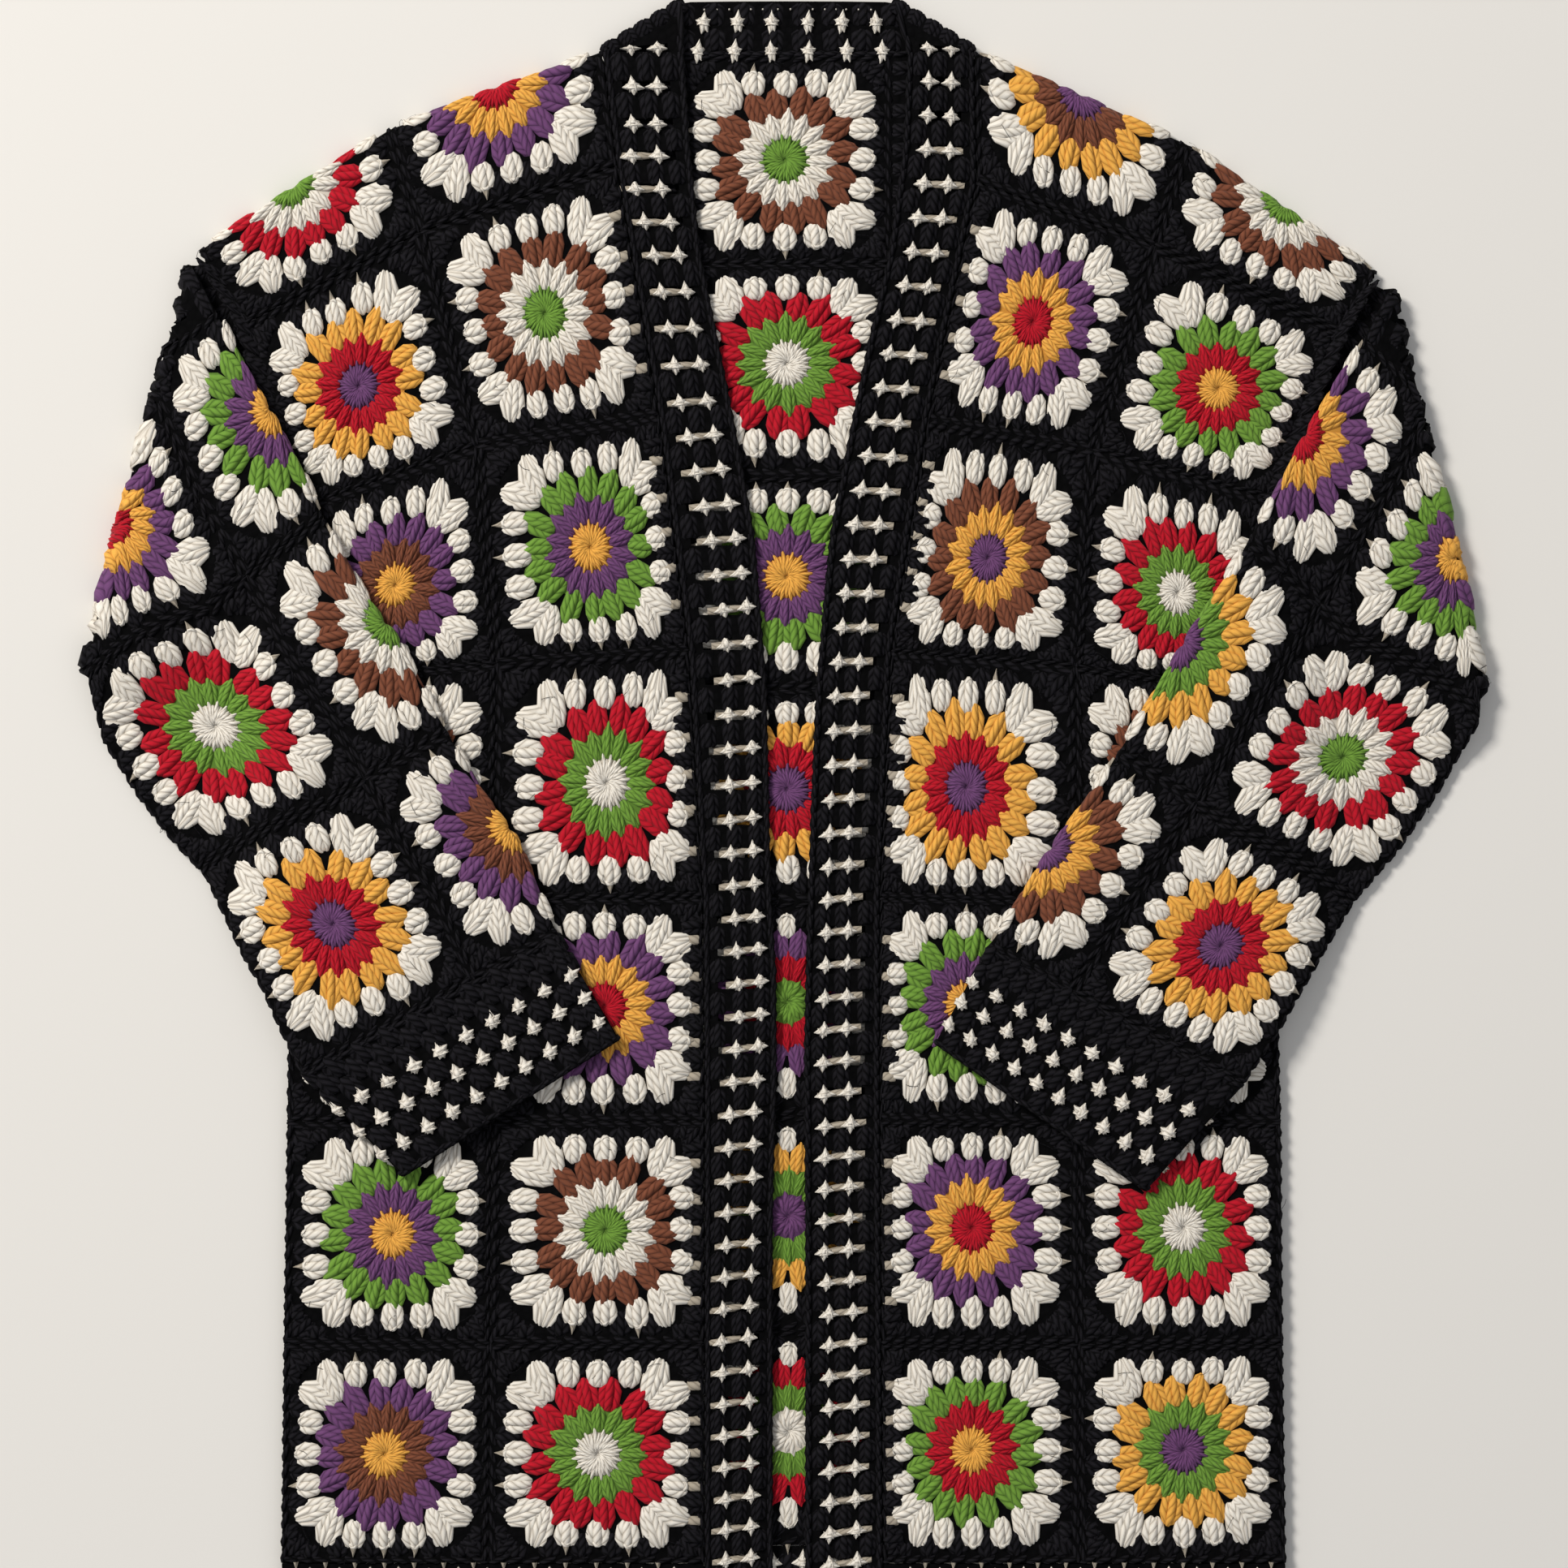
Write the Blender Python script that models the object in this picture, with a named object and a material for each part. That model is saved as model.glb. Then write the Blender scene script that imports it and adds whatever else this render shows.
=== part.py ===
"""Crochet cardigan of joined squares, laid flat: back, fronts, yokes, sleeves, cuffs, bands and hems."""

import math

import bmesh
import bpy

MM = 0.001

# Heights above the table, all in millimetres
WALL = 3.4
FRONT_FLOOR = 4.8
SIDE_FLOOR = 3.7
SLEEVE_WALL = 3.0
TUBE_THICK = 6.3
FOLD_AXIS = 6.45
SLEEVE_OVER_BODY = 10.0
SLEEVE_OVER_SLEEVE = 6.6
CREASE_LIFT = 1.2
SEAM = 0.15
WIDE_SEAM = 0.3

# Shares of one square at which the mesh has a line
SQUARE_STEPS = (0.0, 0.14, 0.35, 0.65, 0.86, 1.0)
BACK_STEPS = (0.0, 0.14, 0.5, 0.86, 1.0)
HALF_STEPS = (0.3, 0.65, 1.0)
PLAIN_STEPS = (0.0, 1.0)

# Raised form of a square: share of the way out to its border, and height in millimetres
RELIEF_SHARE = (0.0, 0.3, 0.7, 0.85, 0.95, 1.0)
RELIEF_HEIGHT = (1.1, 1.4, 1.4, 1.1, 0.2, 0.4)
BACK_RELIEF = 0.7
ROUND_POWER = 3.0

# Seam crossings of each front: name of the line, side edge, middle seam, band edge (x, y in millimetres)
LEFT_FRONT = (
    ("fold", (-324.9, 313.7), (-218.7, 381.2), (-100.8, 424.4)),
    ("yoke", (-298.8, 272.2), (-201.6, 323.1), (-92.7, 360.0)),
    ("bust", (-266.4, 171.0), (-170.1, 204.8), (-69.3, 221.8)),
    ("waist", (-262.4, 75.2), (-159.3, 84.2), (-53.1, 92.2)),
    ("high hip", (-273.6, -47.2), (-161.1, -46.4), (-45.0, -45.5)),
    ("hip", (-275.4, -169.7), (-162.0, -169.7), (-44.1, -168.8)),
    ("thigh", (-277.2, -292.5), (-162.9, -292.5), (-44.1, -292.5)),
    ("knee", (-278.6, -414.0), (-163.8, -414.0), (-44.1, -414.0)),
    ("hem", (-277.7, -451.8), (-163.8, -452.2), (-44.1, -452.2)),
)
RIGHT_FRONT = (
    ("fold", (328.9, 301.5), (223.2, 373.1), (105.3, 424.4)),
    ("yoke", (307.8, 267.8), (205.2, 315.9), (106.7, 351.0)),
    ("bust", (268.2, 175.5), (171.0, 202.1), (79.7, 219.2)),
    ("waist", (260.6, 69.8), (161.1, 82.4), (59.4, 90.9)),
    ("high hip", (271.8, -47.2), (162.9, -47.2), (53.1, -45.5)),
    ("hip", (275.4, -169.7), (162.9, -169.7), (53.1, -168.8)),
    ("thigh", (276.3, -292.5), (162.9, -292.5), (54.0, -292.5)),
    ("knee", (278.1, -414.0), (163.8, -414.0), (54.9, -414.0)),
    ("hem", (278.6, -451.8), (163.8, -452.2), (54.9, -452.2)),
)

# Seam crossings of the back from the left side to the right side
BACK_NECK = ((-98.1, 422.6), (101.7, 422.6))
BACK = (
    ("yoke", (-298.8, 272.2), (-182.7, 301.5), (-59.0, 306.0), (60.3, 306.0), (188.6, 301.5), (307.8, 267.8)),
    ("bust", (-266.4, 171.0), (-165.6, 186.8), (-59.0, 187.7), (60.3, 187.7), (170.6, 186.8), (268.2, 175.5)),
    ("waist", (-262.4, 75.2), (-164.7, 72.0), (-59.0, 69.8), (60.3, 69.8), (166.1, 72.0), (260.6, 69.8)),
    ("high hip", (-273.6, -47.2), (-165.6, -47.2), (-59.0, -48.1), (60.3, -48.1), (166.5, -47.2), (271.8, -47.2)),
    ("hip", (-275.4, -169.7), (-166.5, -167.8), (-58.1, -166.5), (60.3, -166.5), (166.5, -167.8), (275.4, -169.7)),
    ("thigh", (-277.2, -292.5), (-167.4, -288.4), (-57.6, -285.8), (61.2, -285.8), (167.4, -288.4), (276.3, -292.5)),
    ("knee", (-278.6, -414.0), (-168.3, -408.2), (-57.6, -405.0), (61.6, -405.0), (168.3, -408.2), (278.1, -414.0)),
    ("hem", (-277.7, -451.8), (-168.3, -452.2), (-57.6, -452.2), (61.6, -452.2), (168.3, -452.2), (278.6, -451.8)),
)

# Inner edge of each band from the neck to the hem
LEFT_OPENING = (
    (-55.8, 447.8), (-55.4, 424.4), (-52.2, 371.7), (-46.4, 311.9), (-36.0, 261.4), (-26.1, 211.1),
    (-16.2, 154.8), (-9.5, 69.8), (-7.2, -42.8), (-5.0, -132.8), (-5.0, -452.2),
)
RIGHT_OPENING = (
    (60.3, 447.8), (68.4, 422.1), (66.2, 371.7), (58.1, 311.9), (46.4, 261.4), (36.0, 211.1),
    (25.2, 154.8), (17.6, 69.8), (14.4, 2.2), (15.3, -132.8), (11.7, -222.8), (11.7, -452.2),
)

# Band rows: first gap, pitch of the short rows at the neck, pitch of the rest, height of a gap
FIRST_GAP = 426.0
NECK_PITCH = 20.0
NECK_ROWS = 10
BAND_PITCH = 18.5
BAND_GAP = 5.6
BAND_MARGIN = 0.2
BAND_LAST = -436.0
NECK_SLANT = 7.0
SLANT_ROWS = 4

# Neck band: x, top edge y
NECK_BAND = (
    (-96.3, 427.0), (-74.7, 437.0), (-55.8, 448.6), (-29.7, 451.4), (0.0, 452.1),
    (33.3, 451.4), (60.3, 448.6), (80.6, 437.0), (100.8, 426.0),
)
NECK_BAND_LOW = 423.2

# Sleeve on each side, over the front: inner folded edge and outer folded edge from the crease to the cuff seam
LEFT_SLEEVE = {
    "inner": (
        (-326.7, 305.6), (-306.0, 265.5), (-294.3, 241.2), (-278.1, 213.3), (-264.2, 186.8), (-247.1, 150.8),
        (-226.8, 114.8), (-212.8, 96.8), (-190.8, 56.7), (-164.7, 10.3), (-148.5, -11.7), (-124.2, -65.2),
    ),
    "outer": (
        (-385.2, 77.2), (-377.6, 40.5), (-358.7, 10.3), (-338.4, -15.8), (-321.3, -33.8), (-309.2, -59.0),
        (-299.2, -79.2), (-288.9, -95.4), (-277.2, -121.5), (-265.9, -142.7),
    ),
    "armhole": ((0.0, -322.2, 306.9), (0.283, -300.6, 270.9), (1.0, -268.0, 169.7)),
    "cuff": ((-90.0, -123.3), (-210.6, -199.8)),
    "squares": ((-381.2, 168.3), (-316.8, 50.4), (-252.5, -67.5), (-288.4, 227.2), (-214.2, 105.8), (-154.8, -11.2)),
    "wide": (51.0, 28.0),
    "tall": (32.2, -59.0),
    "side": -1.0,
}
RIGHT_SLEEVE = {
    "inner": (
        (333.9, 292.4), (317.7, 259.2), (296.6, 225.5), (282.2, 199.3), (270.0, 176.8), (248.0, 139.1),
        (221.8, 96.8), (197.6, 56.7), (171.5, 16.2), (143.6, -23.9), (112.0, -72.0),
    ),
    "outer": (
        (385.2, 67.0), (384.2, 50.4), (364.5, 14.4), (342.4, -18.0), (316.4, -48.1), (300.6, -73.4),
        (286.2, -97.2), (274.5, -117.5), (253.8, -148.5),
    ),
    "armhole": ((0.0, 326.9, 293.8), (0.283, 309.9, 266.8), (1.0, 270.0, 174.2)),
    "cuff": ((82.4, -125.5), (199.8, -207.9)),
    "squares": ((370.4, 150.3), (308.2, 35.1), (243.9, -76.5), (290.7, 205.7), (218.2, 86.4), (152.6, -22.5)),
    "wide": (-45.0, 25.7),
    "tall": (-31.6, -56.7),
    "side": 1.0,
}
TOP_STEPS = 9
UNDER_STEPS = 4
OVER_ROWS = 14
ARC_ANGLES = (0.0, 45.0, 90.0, 135.0, 180.0)
ARMHOLE_SHARES = (1.0, 0.5)
CUFF_ROWS = (0.0, 0.33, 0.67, 1.0)

COLOURS = {
    "yarn_body": (0.012, 0.013, 0.02),
    "yarn_band": (0.014, 0.014, 0.02),
}
ROUGHNESS = 0.95


def clear_scene():
    for thing in list(bpy.data.objects):
        bpy.data.objects.remove(thing, do_unlink=True)
    for mesh in list(bpy.data.meshes):
        bpy.data.meshes.remove(mesh)


def make_material(name, slot):
    material = bpy.data.materials.new(name)
    material.use_nodes = True
    shader = material.node_tree.nodes["Principled BSDF"]
    shader.inputs["Base Color"].default_value = (*COLOURS[slot], 1.0)
    shader.inputs["Roughness"].default_value = ROUGHNESS
    shader.inputs["Metallic"].default_value = 0.0
    return material


def smooth(share):
    share = min(1.0, max(0.0, share))
    return share * share * (3.0 - 2.0 * share)


def mix(first, second, share):
    return tuple(a + (b - a) * share for a, b in zip(first, second))


def toward(first, second, distance):
    length = math.dist(first, second)
    return mix(first, second, distance / length)


def relief(across, along):
    away = (abs(across) ** ROUND_POWER + abs(along) ** ROUND_POWER) ** (1.0 / ROUND_POWER)
    away = min(1.0, away)
    for index in range(1, len(RELIEF_SHARE)):
        if away <= RELIEF_SHARE[index]:
            start = RELIEF_SHARE[index - 1]
            share = (away - start) / (RELIEF_SHARE[index] - start)
            low = RELIEF_HEIGHT[index - 1]
            return low + (RELIEF_HEIGHT[index] - low) * share
    return RELIEF_HEIGHT[-1]


def curve_point(points, share):
    lengths = [math.dist(a, b) for a, b in zip(points, points[1:])]
    target = share * sum(lengths)
    for index, length in enumerate(lengths):
        if target <= length or index == len(lengths) - 1:
            return mix(points[index], points[index + 1], target / length)
        target -= length
    return points[-1]


def x_at(points, y):
    if y >= points[0][1]:
        return points[0][0]
    for (x0, y0), (x1, y1) in zip(points, points[1:]):
        if y1 <= y:
            return x0 + (x1 - x0) * (y0 - y) / (y0 - y1)
    return points[-1][0]


def build_wall(name, slot, outer, inner, missing=(), wrapped=False):
    """One closed wall between two grids of points; missing cells are cut through."""
    rows = len(outer)
    columns = len(outer[0])
    last = columns if wrapped else columns - 1
    cells = {(i, j) for i in range(rows - 1) for j in range(last)}
    cells -= set(missing)
    mesh = bpy.data.meshes.new(name)
    made = bmesh.new()
    used = {}

    def vertex(layer, i, j):
        j %= columns
        key = (layer, i, j)
        if key not in used:
            source = outer if layer == 0 else inner
            used[key] = made.verts.new([value * MM for value in source[i][j]])
        return used[key]

    def edge_face(i0, j0, i1, j1):
        a = vertex(0, i0, j0)
        b = vertex(0, i1, j1)
        c = vertex(1, i1, j1)
        d = vertex(1, i0, j0)
        made.faces.new((a, d, c))
        made.faces.new((a, c, b))

    for i, j in sorted(cells):
        corners = ((i, j), (i, j + 1), (i + 1, j + 1), (i + 1, j))
        a, b, c, d = [vertex(0, *corner) for corner in corners]
        made.faces.new((a, b, c))
        made.faces.new((a, c, d))
        a, b, c, d = [vertex(1, *corner) for corner in corners]
        made.faces.new((a, c, b))
        made.faces.new((a, d, c))
        around = {
            (i - 1, j): (corners[0], corners[1]),
            (i, (j + 1) % columns if wrapped else j + 1): (corners[1], corners[2]),
            (i + 1, j): (corners[2], corners[3]),
            (i, (j - 1) % columns if wrapped else j - 1): (corners[3], corners[0]),
        }
        for neighbour, (start, end) in around.items():
            if neighbour not in cells:
                edge_face(*start, *end)
    if made.calc_volume(signed=True) < 0.0:
        bmesh.ops.reverse_faces(made, faces=made.faces[:])
    made.to_mesh(mesh)
    made.free()
    thing = bpy.data.objects.new(name, mesh)
    thing.data.materials.append(make_material(name, slot))
    bpy.context.scene.collection.objects.link(thing)
    return thing


def share_lines(count, steps):
    lines = [(0, steps[0])]
    for cell in range(count):
        lines += [(cell, step) for step in steps[1:]]
    return lines


def panel_grid(nodes, row_lines, column_lines):
    """Plan points of a panel whose squares have the given corners."""
    grid = []
    for row, down in row_lines:
        line = []
        for column, across in column_lines:
            upper = mix(nodes[row][column], nodes[row][column + 1], across)
            lower = mix(nodes[row + 1][column], nodes[row + 1][column + 1], across)
            line.append(mix(upper, lower, down))
        grid.append(line)
    return grid


def inset(grid, first_row, last_row, first_column, last_column):
    """Draw the border of a plan grid in by the seam gap of each side."""
    drawn = [list(line) for line in grid]
    for j in range(len(grid[0])):
        drawn[0][j] = toward(grid[0][j], grid[1][j], first_row)
        drawn[-1][j] = toward(grid[-1][j], grid[-2][j], last_row)
    for line in drawn:
        start = toward(line[0], line[1], first_column)
        end = toward(line[-1], line[-2], last_column)
        line[0] = start
        line[-1] = end
    return drawn


def front_floor(across):
    return SIDE_FLOOR + (FRONT_FLOOR - SIDE_FLOOR) * smooth(4.0 * across)


def build_front(name, hem_name, table):
    nodes = [row[1:] for row in table[1:-1]]
    rows = share_lines(len(nodes) - 1, SQUARE_STEPS)
    columns = share_lines(2, SQUARE_STEPS)
    plan = inset(panel_grid(nodes, rows, columns), SEAM, SEAM, SEAM, SEAM)
    outer = []
    inner = []
    for (row, down), line in zip(rows, plan):
        top = []
        bottom = []
        for (column, across), (x, y) in zip(columns, line):
            floor = front_floor((column + across) / 2.0)
            raised = relief(2.0 * across - 1.0, 2.0 * down - 1.0)
            top.append((x, y, floor + WALL + raised))
            bottom.append((x, y, floor))
        outer.append(top)
        inner.append(bottom)
    build_wall(name, "yarn_body", outer, inner)
    hem_nodes = [row[1:] for row in table[-2:]]
    hem_columns = share_lines(2, (0.0, 0.14, 0.5, 1.0))
    plan = inset(panel_grid(hem_nodes, share_lines(1, (0.0, 0.5, 1.0)), hem_columns), SEAM, SEAM, SEAM, SEAM)
    floors = [front_floor((column + across) / 2.0) for column, across in hem_columns]
    outer = [[(x, y, floor + WALL) for floor, (x, y) in zip(floors, line)] for line in plan]
    inner = [[(x, y, floor) for floor, (x, y) in zip(floors, line)] for line in plan]
    build_wall(hem_name, "yarn_band", outer, inner)


def build_back():
    neck = [BACK_NECK[0]] * 3 + [BACK_NECK[1]] * 3
    spread = []
    for column in range(6):
        side = -1.0 if column < 3 else 1.0
        step = abs(column - 2.5) - 0.5
        spread.append((neck[column][0] + side * step, neck[column][1] - step))
    nodes = [spread] + [row[1:] for row in BACK[:-1]]
    rows = share_lines(len(nodes) - 1, BACK_STEPS)
    columns = [(0, 0.0), (0, 1.0), (1, 1.0)]
    columns += [(2, step) for step in BACK_STEPS[1:]]
    columns += [(3, 1.0), (4, 1.0)]
    plan = inset(panel_grid(nodes, rows, columns), SEAM, SEAM, SEAM, SEAM)
    outer = []
    inner = []
    for (row, down), line in zip(rows, plan):
        top = []
        bottom = []
        for (column, across), (x, y) in zip(columns, line):
            raised = 0.0
            if column == 2 and across < 1.0:
                raised = BACK_RELIEF * relief(2.0 * across - 1.0, 2.0 * down - 1.0)
            top.append((x, y, WALL + raised))
            bottom.append((x, y, 0.0))
        outer.append(top)
        inner.append(bottom)
    first_rows = len(BACK_STEPS) - 1
    middle = range(2, 2 + len(BACK_STEPS) - 1)
    missing = [(i, j) for i in range(first_rows) for j in range(len(columns) - 1) if j not in middle]
    build_wall("back", "yarn_body", outer, inner, missing)
    hem_nodes = [row[1:] for row in BACK[-2:]]
    plan = panel_grid(hem_nodes, share_lines(1, PLAIN_STEPS), share_lines(5, PLAIN_STEPS))
    plan = inset(plan, SEAM, SEAM, SEAM, SEAM)
    outer = [[(x, y, WALL) for x, y in line] for line in plan]
    inner = [[(x, y, 0.0) for x, y in line] for line in plan]
    build_wall("hem_back", "yarn_band", outer, inner)


def build_yoke(name, table, back_line):
    """The row of squares folded over the shoulder, half in front and half behind."""
    columns = share_lines(2, SQUARE_STEPS)
    fold = [mix(table[0][1 + c], table[0][2 + c], a) for c, a in columns]
    front = [mix(table[1][1 + c], table[1][2 + c], a) for c, a in columns]
    back = [mix(back_line[c], back_line[c + 1], a) for c, a in columns]
    floors = [front_floor((c + a) / 2.0) for c, a in columns]
    rows = []
    for down in reversed(HALF_STEPS):
        rows.append(("front", down))
    for angle in ARC_ANGLES:
        rows.append(("arc", angle))
    rows.append(("back", 0.5))
    rows.append(("back", 1.0))
    outer = []
    inner = []
    for kind, amount in rows:
        top = []
        bottom = []
        for (column, across), edge, low, far, floor in zip(columns, fold, front, back, floors):
            outside = (floor + WALL) / 2.0
            inside = outside - WALL
            centre = toward(edge, low, outside)
            raised = relief(2.0 * across - 1.0, amount if kind == "front" else 0.0)
            if kind == "front":
                x, y = mix(centre, low, amount)
                top.append((x, y, floor + WALL + raised))
                bottom.append((x, y, floor))
            elif kind == "back":
                x, y = mix(centre, far, amount)
                top.append((x, y, 0.0))
                bottom.append((x, y, WALL))
            else:
                turn = math.radians(amount)
                swell = raised * max(0.0, math.cos(turn / 2.0)) * (1.0 if amount < 180.0 else 0.0)
                for radius, points in ((outside + swell, top), (inside, bottom)):
                    x, y = toward(centre, edge, radius * math.sin(turn)) if radius > 0 else centre
                    points.append((x, y, outside + radius * math.cos(turn)))
        outer.append(top)
        inner.append(bottom)
    outer = draw_in(outer, SEAM, WIDE_SEAM)
    inner = draw_in(inner, SEAM, WIDE_SEAM)
    build_wall(name, "yarn_body", outer, inner)


def draw_in(grid, front_gap, back_gap):
    """The seam gaps round a folded piece, in plan only."""
    plan = [[point[:2] for point in line] for line in grid]
    for j in range(len(grid[0])):
        plan[0][j] = toward(plan[0][j], plan[1][j], front_gap)
        plan[-1][j] = toward(plan[-1][j], plan[-2][j], back_gap)
    for line in plan:
        start = toward(line[0], line[1], front_gap)
        end = toward(line[-1], line[-2], front_gap)
        line[0] = start
        line[-1] = end
    return [[(*flat, point[2]) for flat, point in zip(a, b)] for a, b in zip(plan, grid)]


def build_band(name, table, opening):
    """The knitted-on front band with a row of gaps between each two rows of clusters."""
    edge = [row[3] for row in table]
    gaps = []
    y = FIRST_GAP
    while y > BAND_LAST:
        gaps.append(y)
        y -= NECK_PITCH if len(gaps) < NECK_ROWS else BAND_PITCH
    lines = [(edge[0][1], opening[0][1])]
    for index, y in enumerate(gaps):
        slant = NECK_SLANT * max(0.0, 1.0 - index / SLANT_ROWS)
        lines.append((y - slant, y + slant))
        lines.append((y - slant - BAND_GAP, y + slant - BAND_GAP))
    lines.append((edge[-1][1] + SEAM, edge[-1][1] + SEAM))
    outer = []
    inner = []
    for index, (edge_y, opening_y) in enumerate(lines):
        start = (x_at(edge, edge_y), edge_y)
        end = (x_at(opening, opening_y), opening_y)
        if index == 0:
            start = toward(edge[0], opening[0], SEAM)
            end = opening[0]
        points = [toward(start, end, SEAM)]
        points += [mix(start, end, BAND_MARGIN), mix(start, end, 1.0 - BAND_MARGIN), end]
        floor = SIDE_FLOOR if index == 0 else FRONT_FLOOR
        outer.append([(x, y, floor + WALL) for x, y in points])
        inner.append([(x, y, floor) for x, y in points])
    missing = [(1 + 2 * index, 1) for index in range(len(gaps))]
    build_wall(name, "yarn_band", outer, inner, missing)


def build_neck_band():
    outer = []
    inner = []
    for share in (0.0, 0.5, 1.0):
        points = [mix((x, y), (x, NECK_BAND_LOW), share) for x, y in NECK_BAND]
        outer.append([(x, y, WALL) for x, y in points])
        inner.append([(x, y, 0.0) for x, y in points])
    build_wall("band_neck", "yarn_band", outer, inner)


def tube_loop(width):
    """Round a flattened tube: share across and height, outside then inside, top first."""
    edge = TUBE_THICK / 2.0 / width
    inside = SLEEVE_WALL / width
    upper = TUBE_THICK - SLEEVE_WALL
    loop = []
    for step in range(TOP_STEPS + 1):
        across = edge + (1.0 - 2.0 * edge) * step / TOP_STEPS
        loop.append((across, TUBE_THICK, across, upper))
    loop.append((1.0, TUBE_THICK / 2.0, 1.0 - inside, TUBE_THICK / 2.0))
    for step in range(UNDER_STEPS, -1, -1):
        across = edge + (1.0 - 2.0 * edge) * step / UNDER_STEPS
        loop.append((across, 0.0, across, SLEEVE_WALL))
    loop.append((0.0, TUBE_THICK / 2.0, inside, TUBE_THICK / 2.0))
    return loop


def sleeve_lift(x, y, table, sleeve):
    """How far the sleeve is held up by what lies under it."""
    side = sleeve["side"]
    edge = [row[1] for row in table]
    outside = (x - x_at(edge, y)) * side
    over_body = SLEEVE_OVER_BODY * smooth(1.0 - (outside - 4.0) / 46.0)
    start = sleeve["outer"][0]
    end = sleeve["armhole"][-1][1:]
    length = math.dist(start, end)
    below = ((end[0] - start[0]) * (start[1] - y) + (end[1] - start[1]) * (x - start[0])) / length * -side
    crease = sleeve["inner"][0]
    run = math.dist(start, crease)
    away = abs((crease[0] - start[0]) * (y - start[1]) - (crease[1] - start[1]) * (x - start[0])) / run
    held = SLEEVE_OVER_SLEEVE + CREASE_LIFT * smooth(away / 25.0)
    over_sleeve = held * smooth(1.0 - (below - 6.0) / 36.0)
    return max(over_body, over_sleeve)


def square_relief(x, y, sleeve):
    wide = sleeve["wide"]
    tall = sleeve["tall"]
    area = wide[0] * tall[1] - wide[1] * tall[0]
    best = RELIEF_HEIGHT[-1]
    for cx, cy in sleeve["squares"]:
        dx = x - cx
        dy = y - cy
        across = (dx * tall[1] - dy * tall[0]) / area
        along = (wide[0] * dy - wide[1] * dx) / area
        if max(abs(across), abs(along)) < 1.0:
            best = relief(across, along)
    return best


def build_sleeve(name, table, sleeve):
    first_inner = sleeve["inner"][0]
    first_outer = sleeve["outer"][0]
    width = math.dist(first_inner, first_outer)
    loop = tube_loop(math.dist(sleeve["inner"][-1], sleeve["outer"][-1]))
    crease = ((first_outer[0] - first_inner[0]) / width, (first_outer[1] - first_inner[1]) / width)
    outward = (crease[1] * -sleeve["side"], crease[0] * sleeve["side"])
    outer = []
    inner = []

    def armhole(across):
        rows = sleeve["armhole"]
        for (s0, x0, y0), (s1, x1, y1) in zip(rows, rows[1:]):
            if across <= s1:
                return mix((x0, y0), (x1, y1), (across - s0) / (s1 - s0))
        return rows[-1][1:]

    def add_row(place):
        outer.append([place(across, height, True) for across, height, _, _ in loop])
        inner.append([place(across, height, False) for _, _, across, height in loop])

    for share in ARMHOLE_SHARES:
        def under(across, height, _):
            axis = mix(first_inner, first_outer, across)
            x, y = mix(axis, armhole(across), share)
            return (x, y, TUBE_THICK - height)
        add_row(under)
    for angle in ARC_ANGLES:
        turn = math.radians(angle)

        def around(across, height, _):
            radius = FOLD_AXIS - TUBE_THICK + height
            x, y = mix(first_inner, first_outer, across)
            x += outward[0] * radius * math.sin(turn)
            y += outward[1] * radius * math.sin(turn)
            return (x, y, FOLD_AXIS - radius * math.cos(turn))
        add_row(around)
    for step in range(1, OVER_ROWS + 1):
        share = step / OVER_ROWS
        end_inner = curve_point(sleeve["inner"], share)
        end_outer = curve_point(sleeve["outer"], share)
        if step == OVER_ROWS:
            end_inner = toward(end_inner, sleeve["inner"][-2], SEAM)
            end_outer = toward(end_outer, sleeve["outer"][-2], SEAM)

        def over(across, height, outside):
            x, y = mix(end_inner, end_outer, across)
            z = sleeve_lift(x, y, table, sleeve) + height
            if outside and height == TUBE_THICK:
                z += square_relief(x, y, sleeve)
            return (x, y, z)
        add_row(over)
    build_wall(name, "yarn_body", outer, inner, wrapped=True)


def build_cuff(name, table, sleeve):
    start = (sleeve["inner"][-1], sleeve["outer"][-1])
    end = sleeve["cuff"]
    loop = tube_loop(math.dist(*end))
    outer = []
    inner = []
    for share in CUFF_ROWS:
        inner_edge = mix(start[0], end[0], share)
        outer_edge = mix(start[1], end[1], share)
        if share == 0.0:
            inner_edge = toward(inner_edge, end[0], SEAM)
            outer_edge = toward(outer_edge, end[1], SEAM)
        top = []
        bottom = []
        for across, height, inside_across, inside_height in loop:
            x, y = mix(inner_edge, outer_edge, across)
            top.append((x, y, sleeve_lift(x, y, table, sleeve) + height))
            x, y = mix(inner_edge, outer_edge, inside_across)
            bottom.append((x, y, sleeve_lift(x, y, table, sleeve) + inside_height))
        outer.append(top)
        inner.append(bottom)
    build_wall(name, "yarn_band", outer, inner, wrapped=True)


def main():
    clear_scene()
    build_back()
    build_front("front_left", "hem_front_left", LEFT_FRONT)
    build_front("front_right", "hem_front_right", RIGHT_FRONT)
    yoke_line = BACK[0][1:]
    build_yoke("yoke_left", LEFT_FRONT, yoke_line[:3])
    build_yoke("yoke_right", RIGHT_FRONT, yoke_line[:2:-1])
    build_band("band_left", LEFT_FRONT, LEFT_OPENING)
    build_band("band_right", RIGHT_FRONT, RIGHT_OPENING)
    build_neck_band()
    for side, table, sleeve in (("left", LEFT_FRONT, LEFT_SLEEVE), ("right", RIGHT_FRONT, RIGHT_SLEEVE)):
        build_sleeve("sleeve_" + side, table, sleeve)
        build_cuff("cuff_" + side, table, sleeve)


main()
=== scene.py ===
import math
import random

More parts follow.
